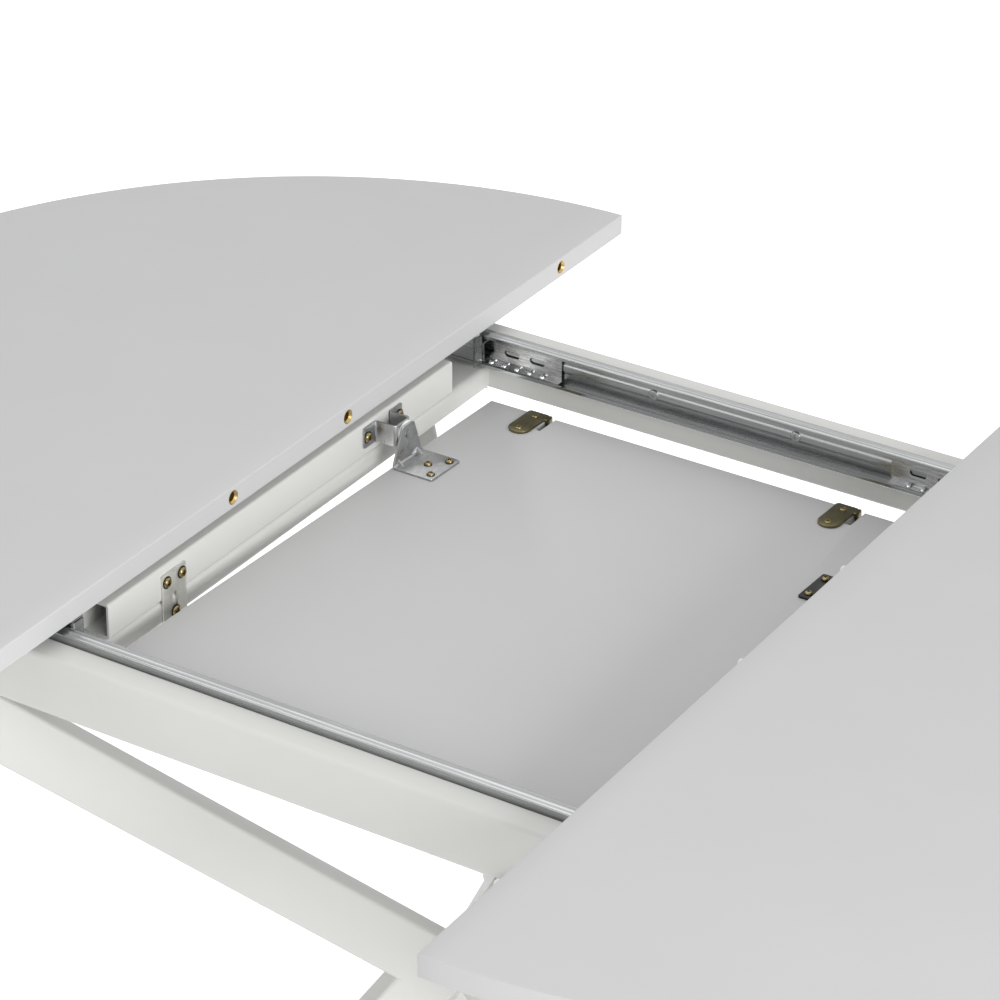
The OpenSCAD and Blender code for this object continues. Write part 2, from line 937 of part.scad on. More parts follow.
// Mirrors what is on panel A across the fold, on to panel B
module under_fold() {
    translate([0, 0, fold_z])
        mirror([0, 0, 1])
            translate([0, 0, -fold_z])
                children();
}

module hinge_screw_places() {
    for (x = hinge_xs, share = [hinge_edge_screw_share, hinge_end_screw_share])
        translate([x, hinge_edge_y - share * hinge_len, leaf_face_z + hinge_t])
            children();
}

// The plate on the panel with its round inner end, joined to an arm down the notch to the fold
module hinge_leaf(x, arm_x) {
    end_r = hinge_w / 2;
    rise = leaf_face_z - fold_z;
    translate([x, hinge_edge_y, fold_z])
        difference() {
            union() {
                translate([0, 0, rise])
                    linear_extrude(hinge_t) {
                        translate([0, end_r - hinge_len])
                            circle(r = end_r);
                        translate([-end_r, end_r - hinge_len])
                            square([hinge_w, hinge_len - end_r]);
                        translate([0, -arm_w])
                            square([arm_x + hinge_t, arm_w]);
                    }
                translate([arm_x, 0, 0])
                    rotate([90, 0, 90])
                        linear_extrude(hinge_t) {
                            circle(r = hinge_eye_r);
                            polygon([[-hinge_eye_r, 0], [hinge_eye_r, 0], [0, hinge_eye_r],
                                [0, rise + hinge_t], [-arm_w, rise + hinge_t]]);
                        }
            }
            bar_x([arm_x - over, 0, 0], hinge_pin_r + fit, hinge_t + 2 * over);
        }
}

module leaf_hinges(arm_x) {
    color(olive_brass)
        difference() {
            for (x = hinge_xs)
                hinge_leaf(x, arm_x);
            hinge_screw_places()
                screw_hole(hinge_t + over);
        }
}

module leaf_hinges_a() {
    resting()
        leaf_hinges(arm_a_x);
}

module leaf_hinges_b() {
    resting()
        under_fold()
            leaf_hinges(arm_b_x);
}

module leaf_hinge_screws() {
    color(brass)
        hinge_screw_places()
            screw(head_r, hinge_t + shank_l);
}

module leaf_hinge_screws_a() {
    resting()
        leaf_hinge_screws();
}

module leaf_hinge_screws_b() {
    resting()
        under_fold()
            leaf_hinge_screws();
}

module leaf_hinge_pins() {
    color(olive_brass)
        resting()
            for (x = hinge_xs)
                bar_x([x + arm_a_x - arm_gap / 2, hinge_edge_y, fold_z], hinge_pin_r, 2 * hinge_t + 2 * arm_gap);
}

// Legs

// Radius of an arm's edge at a height over its knee, and the edge's height at a radius; the edge lies
// a depth inside the arm's outer edge
function arm_radius(high, rise, depth) = knee_r + high / rise - depth / sin(atan(rise));
function arm_height(r, rise, depth) = (r - knee_r + depth / sin(atan(rise))) * rise;

// The arm's outline in its own plane, x outward and y up from the knee, drawn in by a wall, a cap and an overrun
module arm_outline(rise, end_h, end_r, wall, low_h) {
    polygon([
        [arm_radius(end_h, rise, leg_deep - wall), end_h],
        [end_r - wall, end_h],
        [end_r - wall, arm_height(end_r - wall, rise, wall)],
        [arm_radius(low_h, rise, wall), low_h],
        [arm_radius(low_h, rise, leg_deep - wall), low_h],
    ]);
}

module leg_plane(direction, width) {
    rotate([0, 0, direction])
        rotate([90, 0, 0])
            translate([0, 0, -width / 2])
                linear_extrude(width)
                    children();
}

// An arm that rises from its knee
module leg_arm(direction, rise, end_h, cap) {
    end_r = arm_radius(end_h, rise, leg_deep) + leg_land;
    difference() {
        leg_plane(direction, leg_wide)
            arm_outline(rise, end_h, end_r, 0, 0);
        leg_plane(direction, leg_wide - 2 * tube_wall)
            arm_outline(rise, end_h - cap, end_r, tube_wall, -over);
        translate([0, 0, -over])
            cylinder(r = hub_r + fit, h = rail_low_z);
    }
}

module upper_leg(n) {
    color(white)
        translate([0, 0, knee_z])
            leg_arm(leg_dirs[n], leg_rise, rail_low_z - knee_z, tube_wall);
}

module at_foot(n) {
    rotate([0, 0, leg_dirs[n]])
        translate([foot_r, 0, 0])
            children();
}

module lower_leg(n) {
    color(white)
        difference() {
            translate([0, 0, knee_z])
                mirror([0, 0, 1])
                    leg_arm(leg_dirs[n], lower_rise, knee_z - foot_z, cap_t);
            at_foot(n)
                cylinder(r = stud_r + fit, h = foot_z + cap_t + over);
        }
}

module leg_hub() {
    low_z = knee_z - hub_h / 2;
    color(white)
        translate([0, 0, low_z])
            difference() {
                cylinder(r = hub_r, h = hub_h);
                translate([0, 0, -over])
                    cylinder(r = hub_r - hub_wall, h = hub_h + 2 * over);
            }
}

module glide(n) {
    color(dark)
        at_foot(n) {
            cylinder(r = glide_r, h = glide_h);
            translate([0, 0, glide_h])
                cylinder(r = stud_r, h = stud_l);
        }
}

module back_right_upper_leg() { upper_leg(0); }
module back_left_upper_leg() { upper_leg(1); }
module front_left_upper_leg() { upper_leg(2); }
module front_right_upper_leg() { upper_leg(3); }
module back_right_lower_leg() { lower_leg(0); }
module back_left_lower_leg() { lower_leg(1); }
module front_left_lower_leg() { lower_leg(2); }
module front_right_lower_leg() { lower_leg(3); }
module back_right_glide() { glide(0); }
module back_left_glide() { glide(1); }
module front_left_glide() { glide(2); }
module front_right_glide() { glide(3); }

// Catch plate

module catch_plate() {
    color(white)
        translate([catch_x, catch_y, rail_low_z - catch_t])
            difference() {
                linear_extrude(catch_t)
                    polygon([for (share = catch_shares) catch_len * share]);
                translate([catch_len * catch_hole_shares[0], catch_len * catch_hole_shares[1], -over])
                    cylinder(r = catch_hole_r, h = catch_t + 2 * over);
            }
}

front_rail();
back_rail();
left_cross_rail();
right_cross_rail();
left_cross_tube();
right_cross_tube();
front_channel();
back_channel();
channel_screws();
left_rest_plate();
right_rest_plate();
rest_plate_screws();
left_pivot_bracket();
right_pivot_bracket();
bracket_screws();
pivot_pins();
pivot_washers();
back_right_upper_leg();
back_left_upper_leg();
front_left_upper_leg();
front_right_upper_leg();
back_right_lower_leg();
back_left_lower_leg();
front_left_lower_leg();
front_right_lower_leg();
leg_hub();
catch_plate();
back_right_glide();
back_left_glide();
front_left_glide();
front_right_glide();
left_top();
left_top_bushes();
left_runners();
left_carriages();
left_carriage_screws();
right_top();
right_top_pins();
right_runners();
right_carriages();
right_carriage_screws();
leaf_panel_a();
left_pivot_plate();
right_pivot_plate();
pivot_plate_screws();
leaf_hinges_a();
leaf_hinge_screws_a();
leaf_hinge_pins();
leaf_pins_a();
leaf_bushes_a();
leaf_panel_b();
leaf_hinges_b();
leaf_hinge_screws_b();
leaf_pins_b();
leaf_bushes_b();
left_cages();
left_balls();
right_cages();
right_balls();
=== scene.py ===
"""Looks of the butterfly leaf table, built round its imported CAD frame."""

import math

import bmesh
import bpy
from mathutils import Matrix, Vector


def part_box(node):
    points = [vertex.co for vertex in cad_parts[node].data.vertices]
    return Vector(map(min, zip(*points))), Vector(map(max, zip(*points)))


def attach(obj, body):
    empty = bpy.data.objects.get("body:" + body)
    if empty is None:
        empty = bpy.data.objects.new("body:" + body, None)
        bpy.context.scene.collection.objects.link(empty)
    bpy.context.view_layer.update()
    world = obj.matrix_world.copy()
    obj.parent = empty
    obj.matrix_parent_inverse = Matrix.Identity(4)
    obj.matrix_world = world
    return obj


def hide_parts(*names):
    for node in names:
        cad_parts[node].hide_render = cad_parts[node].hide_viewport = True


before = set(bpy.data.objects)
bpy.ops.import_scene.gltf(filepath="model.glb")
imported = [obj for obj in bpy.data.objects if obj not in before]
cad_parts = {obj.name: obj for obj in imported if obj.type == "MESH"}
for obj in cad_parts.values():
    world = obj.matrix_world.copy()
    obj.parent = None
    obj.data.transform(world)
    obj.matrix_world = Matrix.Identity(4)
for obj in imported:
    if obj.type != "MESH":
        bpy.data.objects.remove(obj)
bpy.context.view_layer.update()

SIDES = {"left": -1, "right": 1}
ENDS = {"front": -1, "back": 1}

# Camera: angles in degrees, place in metres

CAMERA_TURN = 32.025
CAMERA_LIFT = 29.333
CAMERA_ROLL = 0.455
CAMERA_PLACE = (1.4336, -2.3487, 2.3180)
CAMERA_LENS = 139.2

# Sizes and places in millimetres, angles in degrees

TOP_R = 550
HALF_GAP = 244.4
BORE_Z = 740
BORE_NEAR = 85
BORE_FAR = 438
LEAF_HALF = 225
LEAF_DEEP = 550
BOARD_THICK = 20
PANEL_STEP = 21
LEAF_FACE = 677.3
LEAF_SLOPE = 2.0

RAIL_Y = 318
RAIL_LOW_Z = 664.4
CROSS_X = 246.9
CROSS_RAIL_TOP_Z = 687.4

SLIDE_Z = 708.5
SLIDE_LONG = 370
CHANNEL_HALF = 380
CARRIAGE_Y = 302.5
CARRIAGE_TOP_Z = 729

PIVOT = (144, 703.65)
HAT_MIDDLE = (140.4, 705.95)
PLATE_INNER_X = 181
PLATE_HALF = 23
SHEET = 2
REST_Y = -168.9
REST_TOP_Z = 712
REST_SHELF_Z = 645.33
HINGE_XS = (-173, 141)
HINGE_Y = 288
HINGE_HALF = 10.5
FOLD_Z = 656.8

KNEE_Z = 315.9
KNEE_R = 121.583
HUB_R = 62
LEG_WIDE = 27
LEG_DEEP = 54.4
LEG_LAND = 45
ARM_STOCK = (-420, 620)
UPPER_RISE = 0.796989
LOWER_RISE = 1.171574
FOOT_Z = 6
FOOT_R = 337.077
LEG_TURNS = {"back_right": 43.7, "back_left": 136.3, "front_left": 223.7, "front_right": -43.7}


def mm(*numbers):
    """A point or a distance given in millimetres, in metres."""
    return Vector(numbers) * 0.001


def set_camera():
    turn = math.radians(CAMERA_TURN)
    lift = math.radians(CAMERA_LIFT)
    roll = math.radians(CAMERA_ROLL)
    back = Vector((math.sin(turn) * math.cos(lift), -math.cos(turn) * math.cos(lift), math.sin(lift)))
    right = Vector((math.cos(turn), math.sin(turn), 0))
    up = back.cross(right)
    level = right.copy()
    right = math.cos(roll) * level + math.sin(roll) * up
    up = math.cos(roll) * up - math.sin(roll) * level
    lens = bpy.data.cameras.new("table_camera")
    lens.lens = CAMERA_LENS
    lens.sensor_width = 36
    lens.clip_end = 100
    camera = bpy.data.objects.new("table_camera", lens)
    facing = Matrix((right, up, back)).transposed().to_4x4()
    camera.matrix_world = Matrix.Translation(CAMERA_PLACE) @ facing
    bpy.context.scene.collection.objects.link(camera)
    bpy.context.scene.camera = camera


# Modelling by hand: starting shapes, picking and cutting


def clear_selection():
    bpy.ops.object.select_all(action="DESELECT")


def named(name):
    piece = bpy.context.object
    piece.name = name
    piece.data.name = name
    return piece


def settle():
    """Puts the place and size of the selected piece into its mesh."""
    bpy.ops.object.transform_apply(location=True, rotation=True, scale=True)


def block(name, low, high):
    clear_selection()
    bpy.ops.mesh.primitive_cube_add(size=1, location=(low + high) / 2, scale=high - low)
    settle()
    return named(name)


def rod(name, start, end, radius, sides=32):
    clear_selection()
    turn = (end - start).to_track_quat("Z", "Y").to_euler()
    bpy.ops.mesh.primitive_cylinder_add(
        vertices=sides, radius=radius, depth=(end - start).length, location=(start + end) / 2, rotation=turn
    )
    settle()
    return named(name)


def edit(piece, kind):
    clear_selection()
    piece.select_set(True)
    bpy.context.view_layer.objects.active = piece
    bpy.ops.object.mode_set(mode="EDIT")
    bpy.ops.mesh.select_mode(type=kind)
    bpy.ops.mesh.select_all(action="DESELECT")
    return bmesh.from_edit_mesh(piece.data)


def pick(piece, kind, wanted):
    """Opens the piece with the faces or edges selected that are wanted."""
    mesh = edit(piece, kind)
    parts = mesh.faces if kind == "FACE" else mesh.edges
    for part in parts:
        if wanted(part):
            part.select_set(True)
    bmesh.update_edit_mesh(piece.data)


def close_up():
    bpy.ops.object.mode_set(mode="OBJECT")


def face_looks(direction):
    return lambda face: face.normal.dot(Vector(direction)) > 0.99


def runs_along(axis):
    def along(edge):
        step = edge.verts[1].co - edge.verts[0].co
        return abs(step[axis]) > 0.99 * step.length

    return along


def round_edges(piece, wanted, radius, steps=3):
    pick(piece, "EDGE", wanted)
    bpy.ops.mesh.bevel(offset=radius, offset_type="OFFSET", segments=steps, profile=0.5, affect="EDGES")
    close_up()


def soften(piece, width, steps=2):
    """Breaks every sharp edge of the piece a little."""
    modifier = piece.modifiers.new("soft_edges", "BEVEL")
    modifier.width = width
    modifier.segments = steps
    modifier.limit_method = "ANGLE"
    modifier.angle_limit = math.radians(35)
    modifier.use_clamp_overlap = True
    apply_all(piece)


def apply_all(piece):
    clear_selection()
    piece.select_set(True)
    bpy.context.view_layer.objects.active = piece
    for modifier in list(piece.modifiers):
        bpy.ops.object.modifier_apply(modifier=modifier.name)


def join(name, pieces):
    clear_selection()
    for piece in pieces:
        piece.select_set(True)
    bpy.context.view_layer.objects.active = pieces[0]
    if len(pieces) > 1:
        bpy.ops.object.join()
    return named(name)


def cut_away(piece, cutter):
    modifier = piece.modifiers.new("cut", "BOOLEAN")
    modifier.operation = "DIFFERENCE"
    modifier.solver = "EXACT"
    modifier.object = cutter
    apply_all(piece)
    bpy.data.objects.remove(cutter)


def slice_off(piece, place, normal):
    """Removes what is on the normal's side of a plane and closes the cut."""
    edit(piece, "FACE")
    bpy.ops.mesh.select_all(action="SELECT")
    bpy.ops.mesh.bisect(plane_co=place, plane_no=normal, clear_outer=True, use_fill=True)
    close_up()


def face_out(piece):
    edit(piece, "FACE")
    bpy.ops.mesh.select_all(action="SELECT")
    bpy.ops.mesh.remove_doubles(threshold=0.000005)
    bpy.ops.mesh.normals_make_consistent(inside=False)
    close_up()


def bore_through(piece, axis, wall):
    """Turns a bar into a tube along an axis, with walls of the given thickness."""
    pick(piece, "FACE", lambda face: abs(face.normal[axis]) > 0.99)
    bpy.ops.mesh.inset(thickness=wall, depth=0)
    bpy.ops.mesh.bridge_edge_loops()
    close_up()
    face_out(piece)


def folded_sheet(name, corners, run, thickness, bend):
    """Sheet metal whose middle follows the corners, as wide as the run, with rounded bends."""
    clear_selection()
    bpy.ops.mesh.primitive_plane_add(size=1)
    sheet = named(name)
    settle()
    first = (corners[0], corners[0] + run, corners[1], corners[1] + run)
    for vertex, place in zip(sheet.data.vertices, first):
        vertex.co = place
    last = {tuple(round(n, 6) for n in corners[1]), tuple(round(n, 6) for n in corners[1] + run)}
    pick(sheet, "EDGE", lambda edge: {tuple(round(n, 6) for n in vertex.co) for vertex in edge.verts} == last)
    for near, far in zip(corners[1:], corners[2:]):
        bpy.ops.mesh.extrude_edges_move(TRANSFORM_OT_translate={"value": far - near})
    close_up()
    if bend:
        round_edges(sheet, lambda edge: len(edge.link_faces) == 2, bend, 4)
    thicken(sheet, thickness)
    return sheet


def thicken(sheet, thickness):
    modifier = sheet.modifiers.new("thickness", "SOLIDIFY")
    modifier.thickness = thickness
    modifier.offset = 0
    modifier.use_even_offset = True
    apply_all(sheet)
    face_out(sheet)


def plate_from(name, outline, depth):
    """A flat plate with the given outline, extruded by the depth."""
    clear_selection()
    bpy.ops.mesh.primitive_circle_add(vertices=len(outline), radius=1, fill_type="NGON")
    plate = named(name)
    settle()
    for vertex, place in zip(plate.data.vertices, outline):
        vertex.co = place
    edit(plate, "FACE")
    bpy.ops.mesh.select_all(action="SELECT")
    bpy.ops.mesh.extrude_region_move(TRANSFORM_OT_translate={"value": depth})
    close_up()
    face_out(plate)
    return plate


def copies(name, model, places):
    """The model set at each of the places, every copy with its own mesh, as one piece."""
    made = []
    for place in places:
        copy = model.copy()
        copy.data = model.data.copy()
        copy.data.transform(place)
        if place.determinant() < 0:
            copy.data.flip_normals()
        bpy.context.scene.collection.objects.link(copy)
        made.append(copy)
    return join(name, made)


def at(x, y, z, looks="+Z"):
    """A place in millimetres for a model whose head looks up, turned to look another way."""
    turns = {
        "+Z": Matrix.Identity(4),
        "-Z": Matrix.Rotation(math.pi, 4, "X"),
        "+X": Matrix.Rotation(math.pi / 2, 4, "Y"),
        "-X": Matrix.Rotation(-math.pi / 2, 4, "Y"),
        "+Y": Matrix.Rotation(-math.pi / 2, 4, "X"),
        "-Y": Matrix.Rotation(math.pi / 2, 4, "X"),
    }
    return Matrix.Translation(mm(x, y, z)) @ turns[looks]


def lay_on_rests(piece):
    """Tilts what was modelled on the level leaf about the pivots, as the folded leaf rests."""
    pivot = Matrix.Translation(mm(0, *PIVOT))
    piece.data.transform(pivot @ Matrix.Rotation(-math.radians(LEAF_SLOPE), 4, "X") @ pivot.inverted())
    return piece


def dress(piece, body, slot, material, *nodes, smooth=35):
    """Finishes a piece: smooth shading, its material, the body it rides on and the nodes it stands for."""
    clear_selection()
    piece.select_set(True)
    bpy.context.view_layer.objects.active = piece
    bpy.ops.object.shade_smooth_by_angle(angle=math.radians(smooth))
    piece.data.materials.clear()
    piece.data.materials.append(material)
    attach(piece, body)
    if nodes:
        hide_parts(*nodes)


# Shared finishes


def effect(name, inputs, outputs):
    """An empty shader node group with named number and vector inputs."""
    group = bpy.data.node_groups.new(name, "ShaderNodeTree")
    for label, kind in inputs:
        group.interface.new_socket(name=label, in_out="INPUT", socket_type=kind)
    for label, kind in outputs:
        group.interface.new_socket(name=label, in_out="OUTPUT", socket_type=kind)
    return group, group.nodes.new("NodeGroupInput"), group.nodes.new("NodeGroupOutput")


NUMBER = "NodeSocketFloat"
VECTOR = "NodeSocketVector"


def noise(tree, place, scale, detail=3, rough=0.55):
    """A noise node that reads the place, with its scale from a socket or a number."""
    node = tree.nodes.new("ShaderNodeTexNoise")
    node.inputs["Detail"].default_value = detail
    node.inputs["Roughness"].default_value = rough
    tree.links.new(place, node.inputs["Vector"])
    if isinstance(scale, (int, float)):
        node.inputs["Scale"].default_value = scale
    else:
        tree.links.new(scale, node.inputs["Scale"])
    return node.outputs["Fac"]


def spread(tree, value, low, high, out_low, out_high):
    """The value between low and high, spread between two other numbers or sockets."""
    node = tree.nodes.new("ShaderNodeMapRange")
    tree.links.new(value, node.inputs["Value"])
    for label, number in (("From Min", low), ("From Max", high), ("To Min", out_low), ("To Max", out_high)):
        if isinstance(number, (int, float)):
            node.inputs[label].default_value = number
        else:
            tree.links.new(number, node.inputs[label])
    return node.outputs["Result"]


def arithmetic(tree, kind, first, second):
    node = tree.nodes.new("ShaderNodeMath")
    node.operation = kind
    for socket, value in zip(node.inputs, (first, second)):
        if isinstance(value, (int, float)):
            socket.default_value = value
        else:
            tree.links.new(value, socket)
    return node.outputs[0]


def blend_of(tree, first, first_share, second, second_share):
    """The sum of two values, each times its share."""
    first_part = arithmetic(tree, "MULTIPLY", first, first_share)
    second_part = arithmetic(tree, "MULTIPLY", second, second_share)
    return arithmetic(tree, "ADD", first_part, second_part)


def make_cloudiness():
    """Soft cloudy variation of a sprayed or plated face, with fine speckle in it."""
    group, enter, leave = effect(
        "cloudiness",
        [
            ("Place", VECTOR),
            ("Cloud Scale", NUMBER),
            ("Speckle Scale", NUMBER),
            ("Low", NUMBER),
            ("High", NUMBER),
        ],
        [("Value", NUMBER)],
    )
    cloud = noise(group, enter.outputs["Place"], enter.outputs["Cloud Scale"])
    speckle = noise(group, enter.outputs["Place"], enter.outputs["Speckle Scale"], 2)
    both = blend_of(group, cloud, 0.6, speckle, 0.4)
    result = spread(group, both, 0.3, 0.7, enter.outputs["Low"], enter.outputs["High"])
    group.links.new(result, leave.inputs["Value"])
    return group


def make_rolling_streaks():
    """Long rolling streaks and short scratches of drawn sheet metal, running along the stretched axis."""
    group, enter, leave = effect(
        "rolling_streaks",
        [("Place", VECTOR), ("Streak Scale", NUMBER), ("Low", NUMBER), ("High", NUMBER)],
        [("Value", NUMBER), ("Height", NUMBER)],
    )
    broad = noise(group, enter.outputs["Place"], enter.outputs["Streak Scale"], 4, 0.6)
    fine_scale = arithmetic(group, "MULTIPLY", enter.outputs["Streak Scale"], 5.0)
    fine = noise(group, enter.outputs["Place"], fine_scale, 2, 0.7)
    both = blend_of(group, broad, 0.65, fine, 0.35)
    result = spread(group, both, 0.32, 0.68, enter.outputs["Low"], enter.outputs["High"])
    group.links.new(result, leave.inputs["Value"])
    group.links.new(fine, leave.inputs["Height"])
    return group


def make_sprayed_skin():
    """The fine orange peel of spray lacquer and powder coat."""
    group, enter, leave = effect("sprayed_skin", [("Place", VECTOR), ("Grain", NUMBER)], [("Height", NUMBER)])
    wide = noise(group, enter.outputs["Place"], enter.outputs["Grain"], 1)
    narrow_grain = arithmetic(group, "MULTIPLY", enter.outputs["Grain"], 3.1)
    narrow = noise(group, enter.outputs["Place"], narrow_grain, 2)
    height = arithmetic(group, "ADD", wide, arithmetic(group, "MULTIPLY", narrow, 0.4))
    group.links.new(height, leave.inputs["Height"])
    return group


class Finish:
    """A material with its Principled shader, its place in object coordinates and short ways to link it."""

    def __init__(self, name, stretch=(1, 1, 1)):
        self.material = bpy.data.materials.new(name)
        self.material.use_nodes = True
        self.tree = self.material.node_tree
        self.shader = self.tree.nodes["Principled BSDF"]
        reader = self.tree.nodes.new("ShaderNodeTexCoord")
        mapping = self.tree.nodes.new("ShaderNodeMapping")
        mapping.inputs["Scale"].default_value = stretch
        self.tree.links.new(reader.outputs["Object"], mapping.inputs["Vector"])
        self.place = mapping.outputs["Vector"]

    def set(self, **values):
        for label, value in values.items():
            self.shader.inputs[label.replace("_", " ")].default_value = value

    def add(self, group, **values):
        node = self.tree.nodes.new("ShaderNodeGroup")
        node.node_tree = group
        self.tree.links.new(self.place, node.inputs["Place"])
        for label, value in values.items():
            node.inputs[label.replace("_", " ")].default_value = value
        return node

    def colour_between(self, value, dark, light):
        """Base colour between two colours, chosen by a value from 0 to 1."""
        node = self.tree.nodes.new("ShaderNodeMix")
        node.data_type = "RGBA"
        node.inputs["A"].default_value = (*dark, 1)
        node.inputs["B"].default_value = (*light, 1)
        self.tree.links.new(value, node.inputs["Factor"])
        self.tree.links.new(node.outputs["Result"], self.shader.inputs["Base Color"])

    def drive(self, label, value):
        self.tree.links.new(value, self.shader.inputs[label])

    def bump(self, height, strength, distance):
        node = self.tree.nodes.new("ShaderNodeBump")
        node.inputs["Strength"].default_value = strength
        node.inputs["Distance"].default_value = distance
        self.tree.links.new(height, node.inputs["Height"])
        self.tree.links.new(node.outputs["Normal"], self.shader.inputs["Normal"])


SPRAYED = {
    "top_lacquer": ((0.548, 0.548, 0.549), (0.564, 0.564, 0.565), (0.44, 0.50), 900, 0.10),
    "frame_white": ((0.645, 0.645, 0.622), (0.675, 0.675, 0.652), (0.33, 0.45), 620, 0.22),
}
ROLLED = {
    "zinc_steel": ((0.32, 0.33, 0.33), (0.49, 0.50, 0.50), (0.20, 0.32), 16, (0.5, 18, 18), 0.06),
    "bracket_steel": ((0.35, 0.355, 0.355), (0.50, 0.505, 0.51), (0.24, 0.36), 60, (8, 2, 3), 0.08),
    "rest_steel": ((0.58, 0.58, 0.545), (0.76, 0.76, 0.715), (0.46, 0.60), 60, (8, 2, 3), 0.06),
    # A near-black copy of the bracket steel for the right pivot plate: painted shade standing for the dark
    # reflection and shadow it shows under the right top.
    "painted_shade_steel": ((0.022, 0.022, 0.021), (0.045, 0.045, 0.044), (0.26, 0.40), 60, (8, 2, 3), 0.08),
    "cage_steel": ((0.30, 0.30, 0.305), (0.72, 0.72, 0.72), (0.18, 0.30), 50, (2, 14, 14), 0.15),
}
PLATED = {
    "ball_steel": ((0.62, 0.62, 0.64), (0.80, 0.80, 0.82), (0.06, 0.12), 80, 0.0, 1.0),
    # The screw brass is darker than the bush brass: partly the screws' own tone, partly painted shade
    # standing in for the dark cross recesses.
    "screw_brass": ((0.17, 0.132, 0.058), (0.44, 0.36, 0.18), (0.20, 0.34), 260, 0.1, 1.0),
    # A near-black ring under the wall and base screw heads: painted shade for the shadowed gap under each
    # head.
    "screw_shade_ring": ((0.030, 0.028, 0.024), (0.060, 0.055, 0.045), (0.30, 0.45), 200, 0.1, 1.0),
    "bush_brass": ((0.50, 0.36, 0.14), (0.68, 0.52, 0.24), (0.22, 0.36), 150, 0.1, 1.0),
    "hinge_brass": ((0.115, 0.100, 0.050), (0.21, 0.19, 0.105), (0.26, 0.42), 60, 0.2, 1.0),
    "nylon": ((0.84, 0.84, 0.82), (0.90, 0.90, 0.885), (0.32, 0.44), 90, 0.05, 0.0),
    "glide_plastic": ((0.030, 0.030, 0.031), (0.045, 0.045, 0.047), (0.42, 0.56), 70, 0.15, 0.0),
}


def make_finishes():
    """Sprayed, rolled and plated materials: dark and light tone, roughness, scale or grain, and relief."""
    cloudiness = make_cloudiness()
    streaks = make_rolling_streaks()
    skin = make_sprayed_skin()
    finishes = {}
    for name, (dark, light, rough, grain, peel) in SPRAYED.items():
        finish = Finish(name)
        finish.set(IOR=1.48)
        tone = finish.add(cloudiness, Cloud_Scale=9, Speckle_Scale=1400, Low=0, High=1)
        finish.colour_between(tone.outputs["Value"], dark, light)
        sheen = finish.add(cloudiness, Cloud_Scale=23, Speckle_Scale=600, Low=rough[0], High=rough[1])
        finish.drive("Roughness", sheen.outputs["Value"])
        finish.bump(finish.add(skin, Grain=grain).outputs["Height"], peel, 0.00012)
        finishes[name] = finish.material
    for name, (dark, light, rough, scale, stretch, relief) in ROLLED.items():
        finish = Finish(name, stretch)
        finish.set(Metallic=1.0)
        streak = finish.add(streaks, Streak_Scale=scale, Low=0, High=1)
        finish.colour_between(streak.outputs["Value"], dark, light)
        worn = finish.add(streaks, Streak_Scale=scale * 0.4, Low=rough[0], High=rough[1])
        finish.drive("Roughness", worn.outputs["Value"])
        finish.bump(streak.outputs["Height"], relief, 0.0002)
        finishes[name] = finish.material
    for name, (dark, light, rough, scale, relief, metallic) in PLATED.items():
        finish = Finish(name)
        finish.set(Metallic=metallic)
        tone = finish.add(cloudiness, Cloud_Scale=scale, Speckle_Scale=scale * 12, Low=0, High=1)
        finish.colour_between(tone.outputs["Value"], dark, light)
        spots = {"Cloud_Scale": scale * 1.7, "Speckle_Scale": scale * 9}
        worn = finish.add(cloudiness, Low=rough[0], High=rough[1], **spots)
        finish.drive("Roughness", worn.outputs["Value"])
        finish.bump(tone.outputs["Value"], relief, 0.0001)
        finishes[name] = finish.material
    return finishes


# Tops and leaf


def bores(piece, places, radius, depth, direction):
    """Bores round holes into the piece from each place."""
    for place in places:
        cut_away(piece, rod("bore", place - direction * 0.001, place + direction * depth, radius, 48))


BUSH_BORE = (0.00655, 0.01405)
PIN_BORE = (0.00405, 0.01605)
BOARD_EDGE = 0.0009


def build_half_top(side, finishes):
    name = f"{side}_top"
    way = SIDES[side]
    low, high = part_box(name)
    centre = mm(way * HALF_GAP, 0, 0)
    foot = centre + Vector((0, 0, low.z))
    head = centre + Vector((0, 0, high.z))
    top = rod(f"{side}_half_top_board", foot, head, TOP_R * 0.001, 180)
    slice_off(top, centre, (-way, 0, 0))
    face_out(top)
    round_edges(top, lambda edge: edge.calc_face_angle(0) > 0.9, BOARD_EDGE, 3)
    radius, depth = BUSH_BORE if side == "left" else PIN_BORE
    places = [mm(way * HALF_GAP, y, BORE_Z) for y in (-BORE_FAR, -BORE_NEAR, BORE_NEAR, BORE_FAR)]
    bores(top, places, radius, depth, Vector((way, 0, 0)))
    dress(top, f"{side}_half", "top_lacquer", finishes["top_lacquer"], name)


def build_leaf_panel(letter, finishes):
    name = f"leaf_panel_{letter}"
    face = LEAF_FACE if letter == "a" else LEAF_FACE - PANEL_STEP
    low = mm(-LEAF_HALF, HINGE_Y - LEAF_DEEP, face - BOARD_THICK)
    high = mm(LEAF_HALF, HINGE_Y, face)
    panel = block(f"leaf_board_{letter}", low, high)
    round_edges(panel, lambda edge: True, BOARD_EDGE, 3)
    middle = (low.z + high.z) / 2
    for x in HINGE_XS:
        corner = mm(x + HINGE_HALF, HINGE_Y - 28, 0)
        far = mm(x + HINGE_HALF + 6.5, HINGE_Y + 1, 0)
        lower = Vector((corner.x, corner.y, low.z - 0.001))
        upper = Vector((far.x, far.y, high.z + 0.001))
        cut_away(panel, block("notch", lower, upper))
    ys = (HINGE_Y - BORE_NEAR, HINGE_Y - BORE_FAR)
    bores(panel, [Vector((low.x, y * 0.001, middle)) for y in ys], *PIN_BORE, Vector((1, 0, 0)))
    bores(panel, [Vector((high.x, y * 0.001, middle)) for y in ys], *BUSH_BORE, Vector((-1, 0, 0)))
    lay_on_rests(panel)
    dress(panel, f"leaf_{letter}", "top_lacquer", finishes["top_lacquer"], name)


# Frame


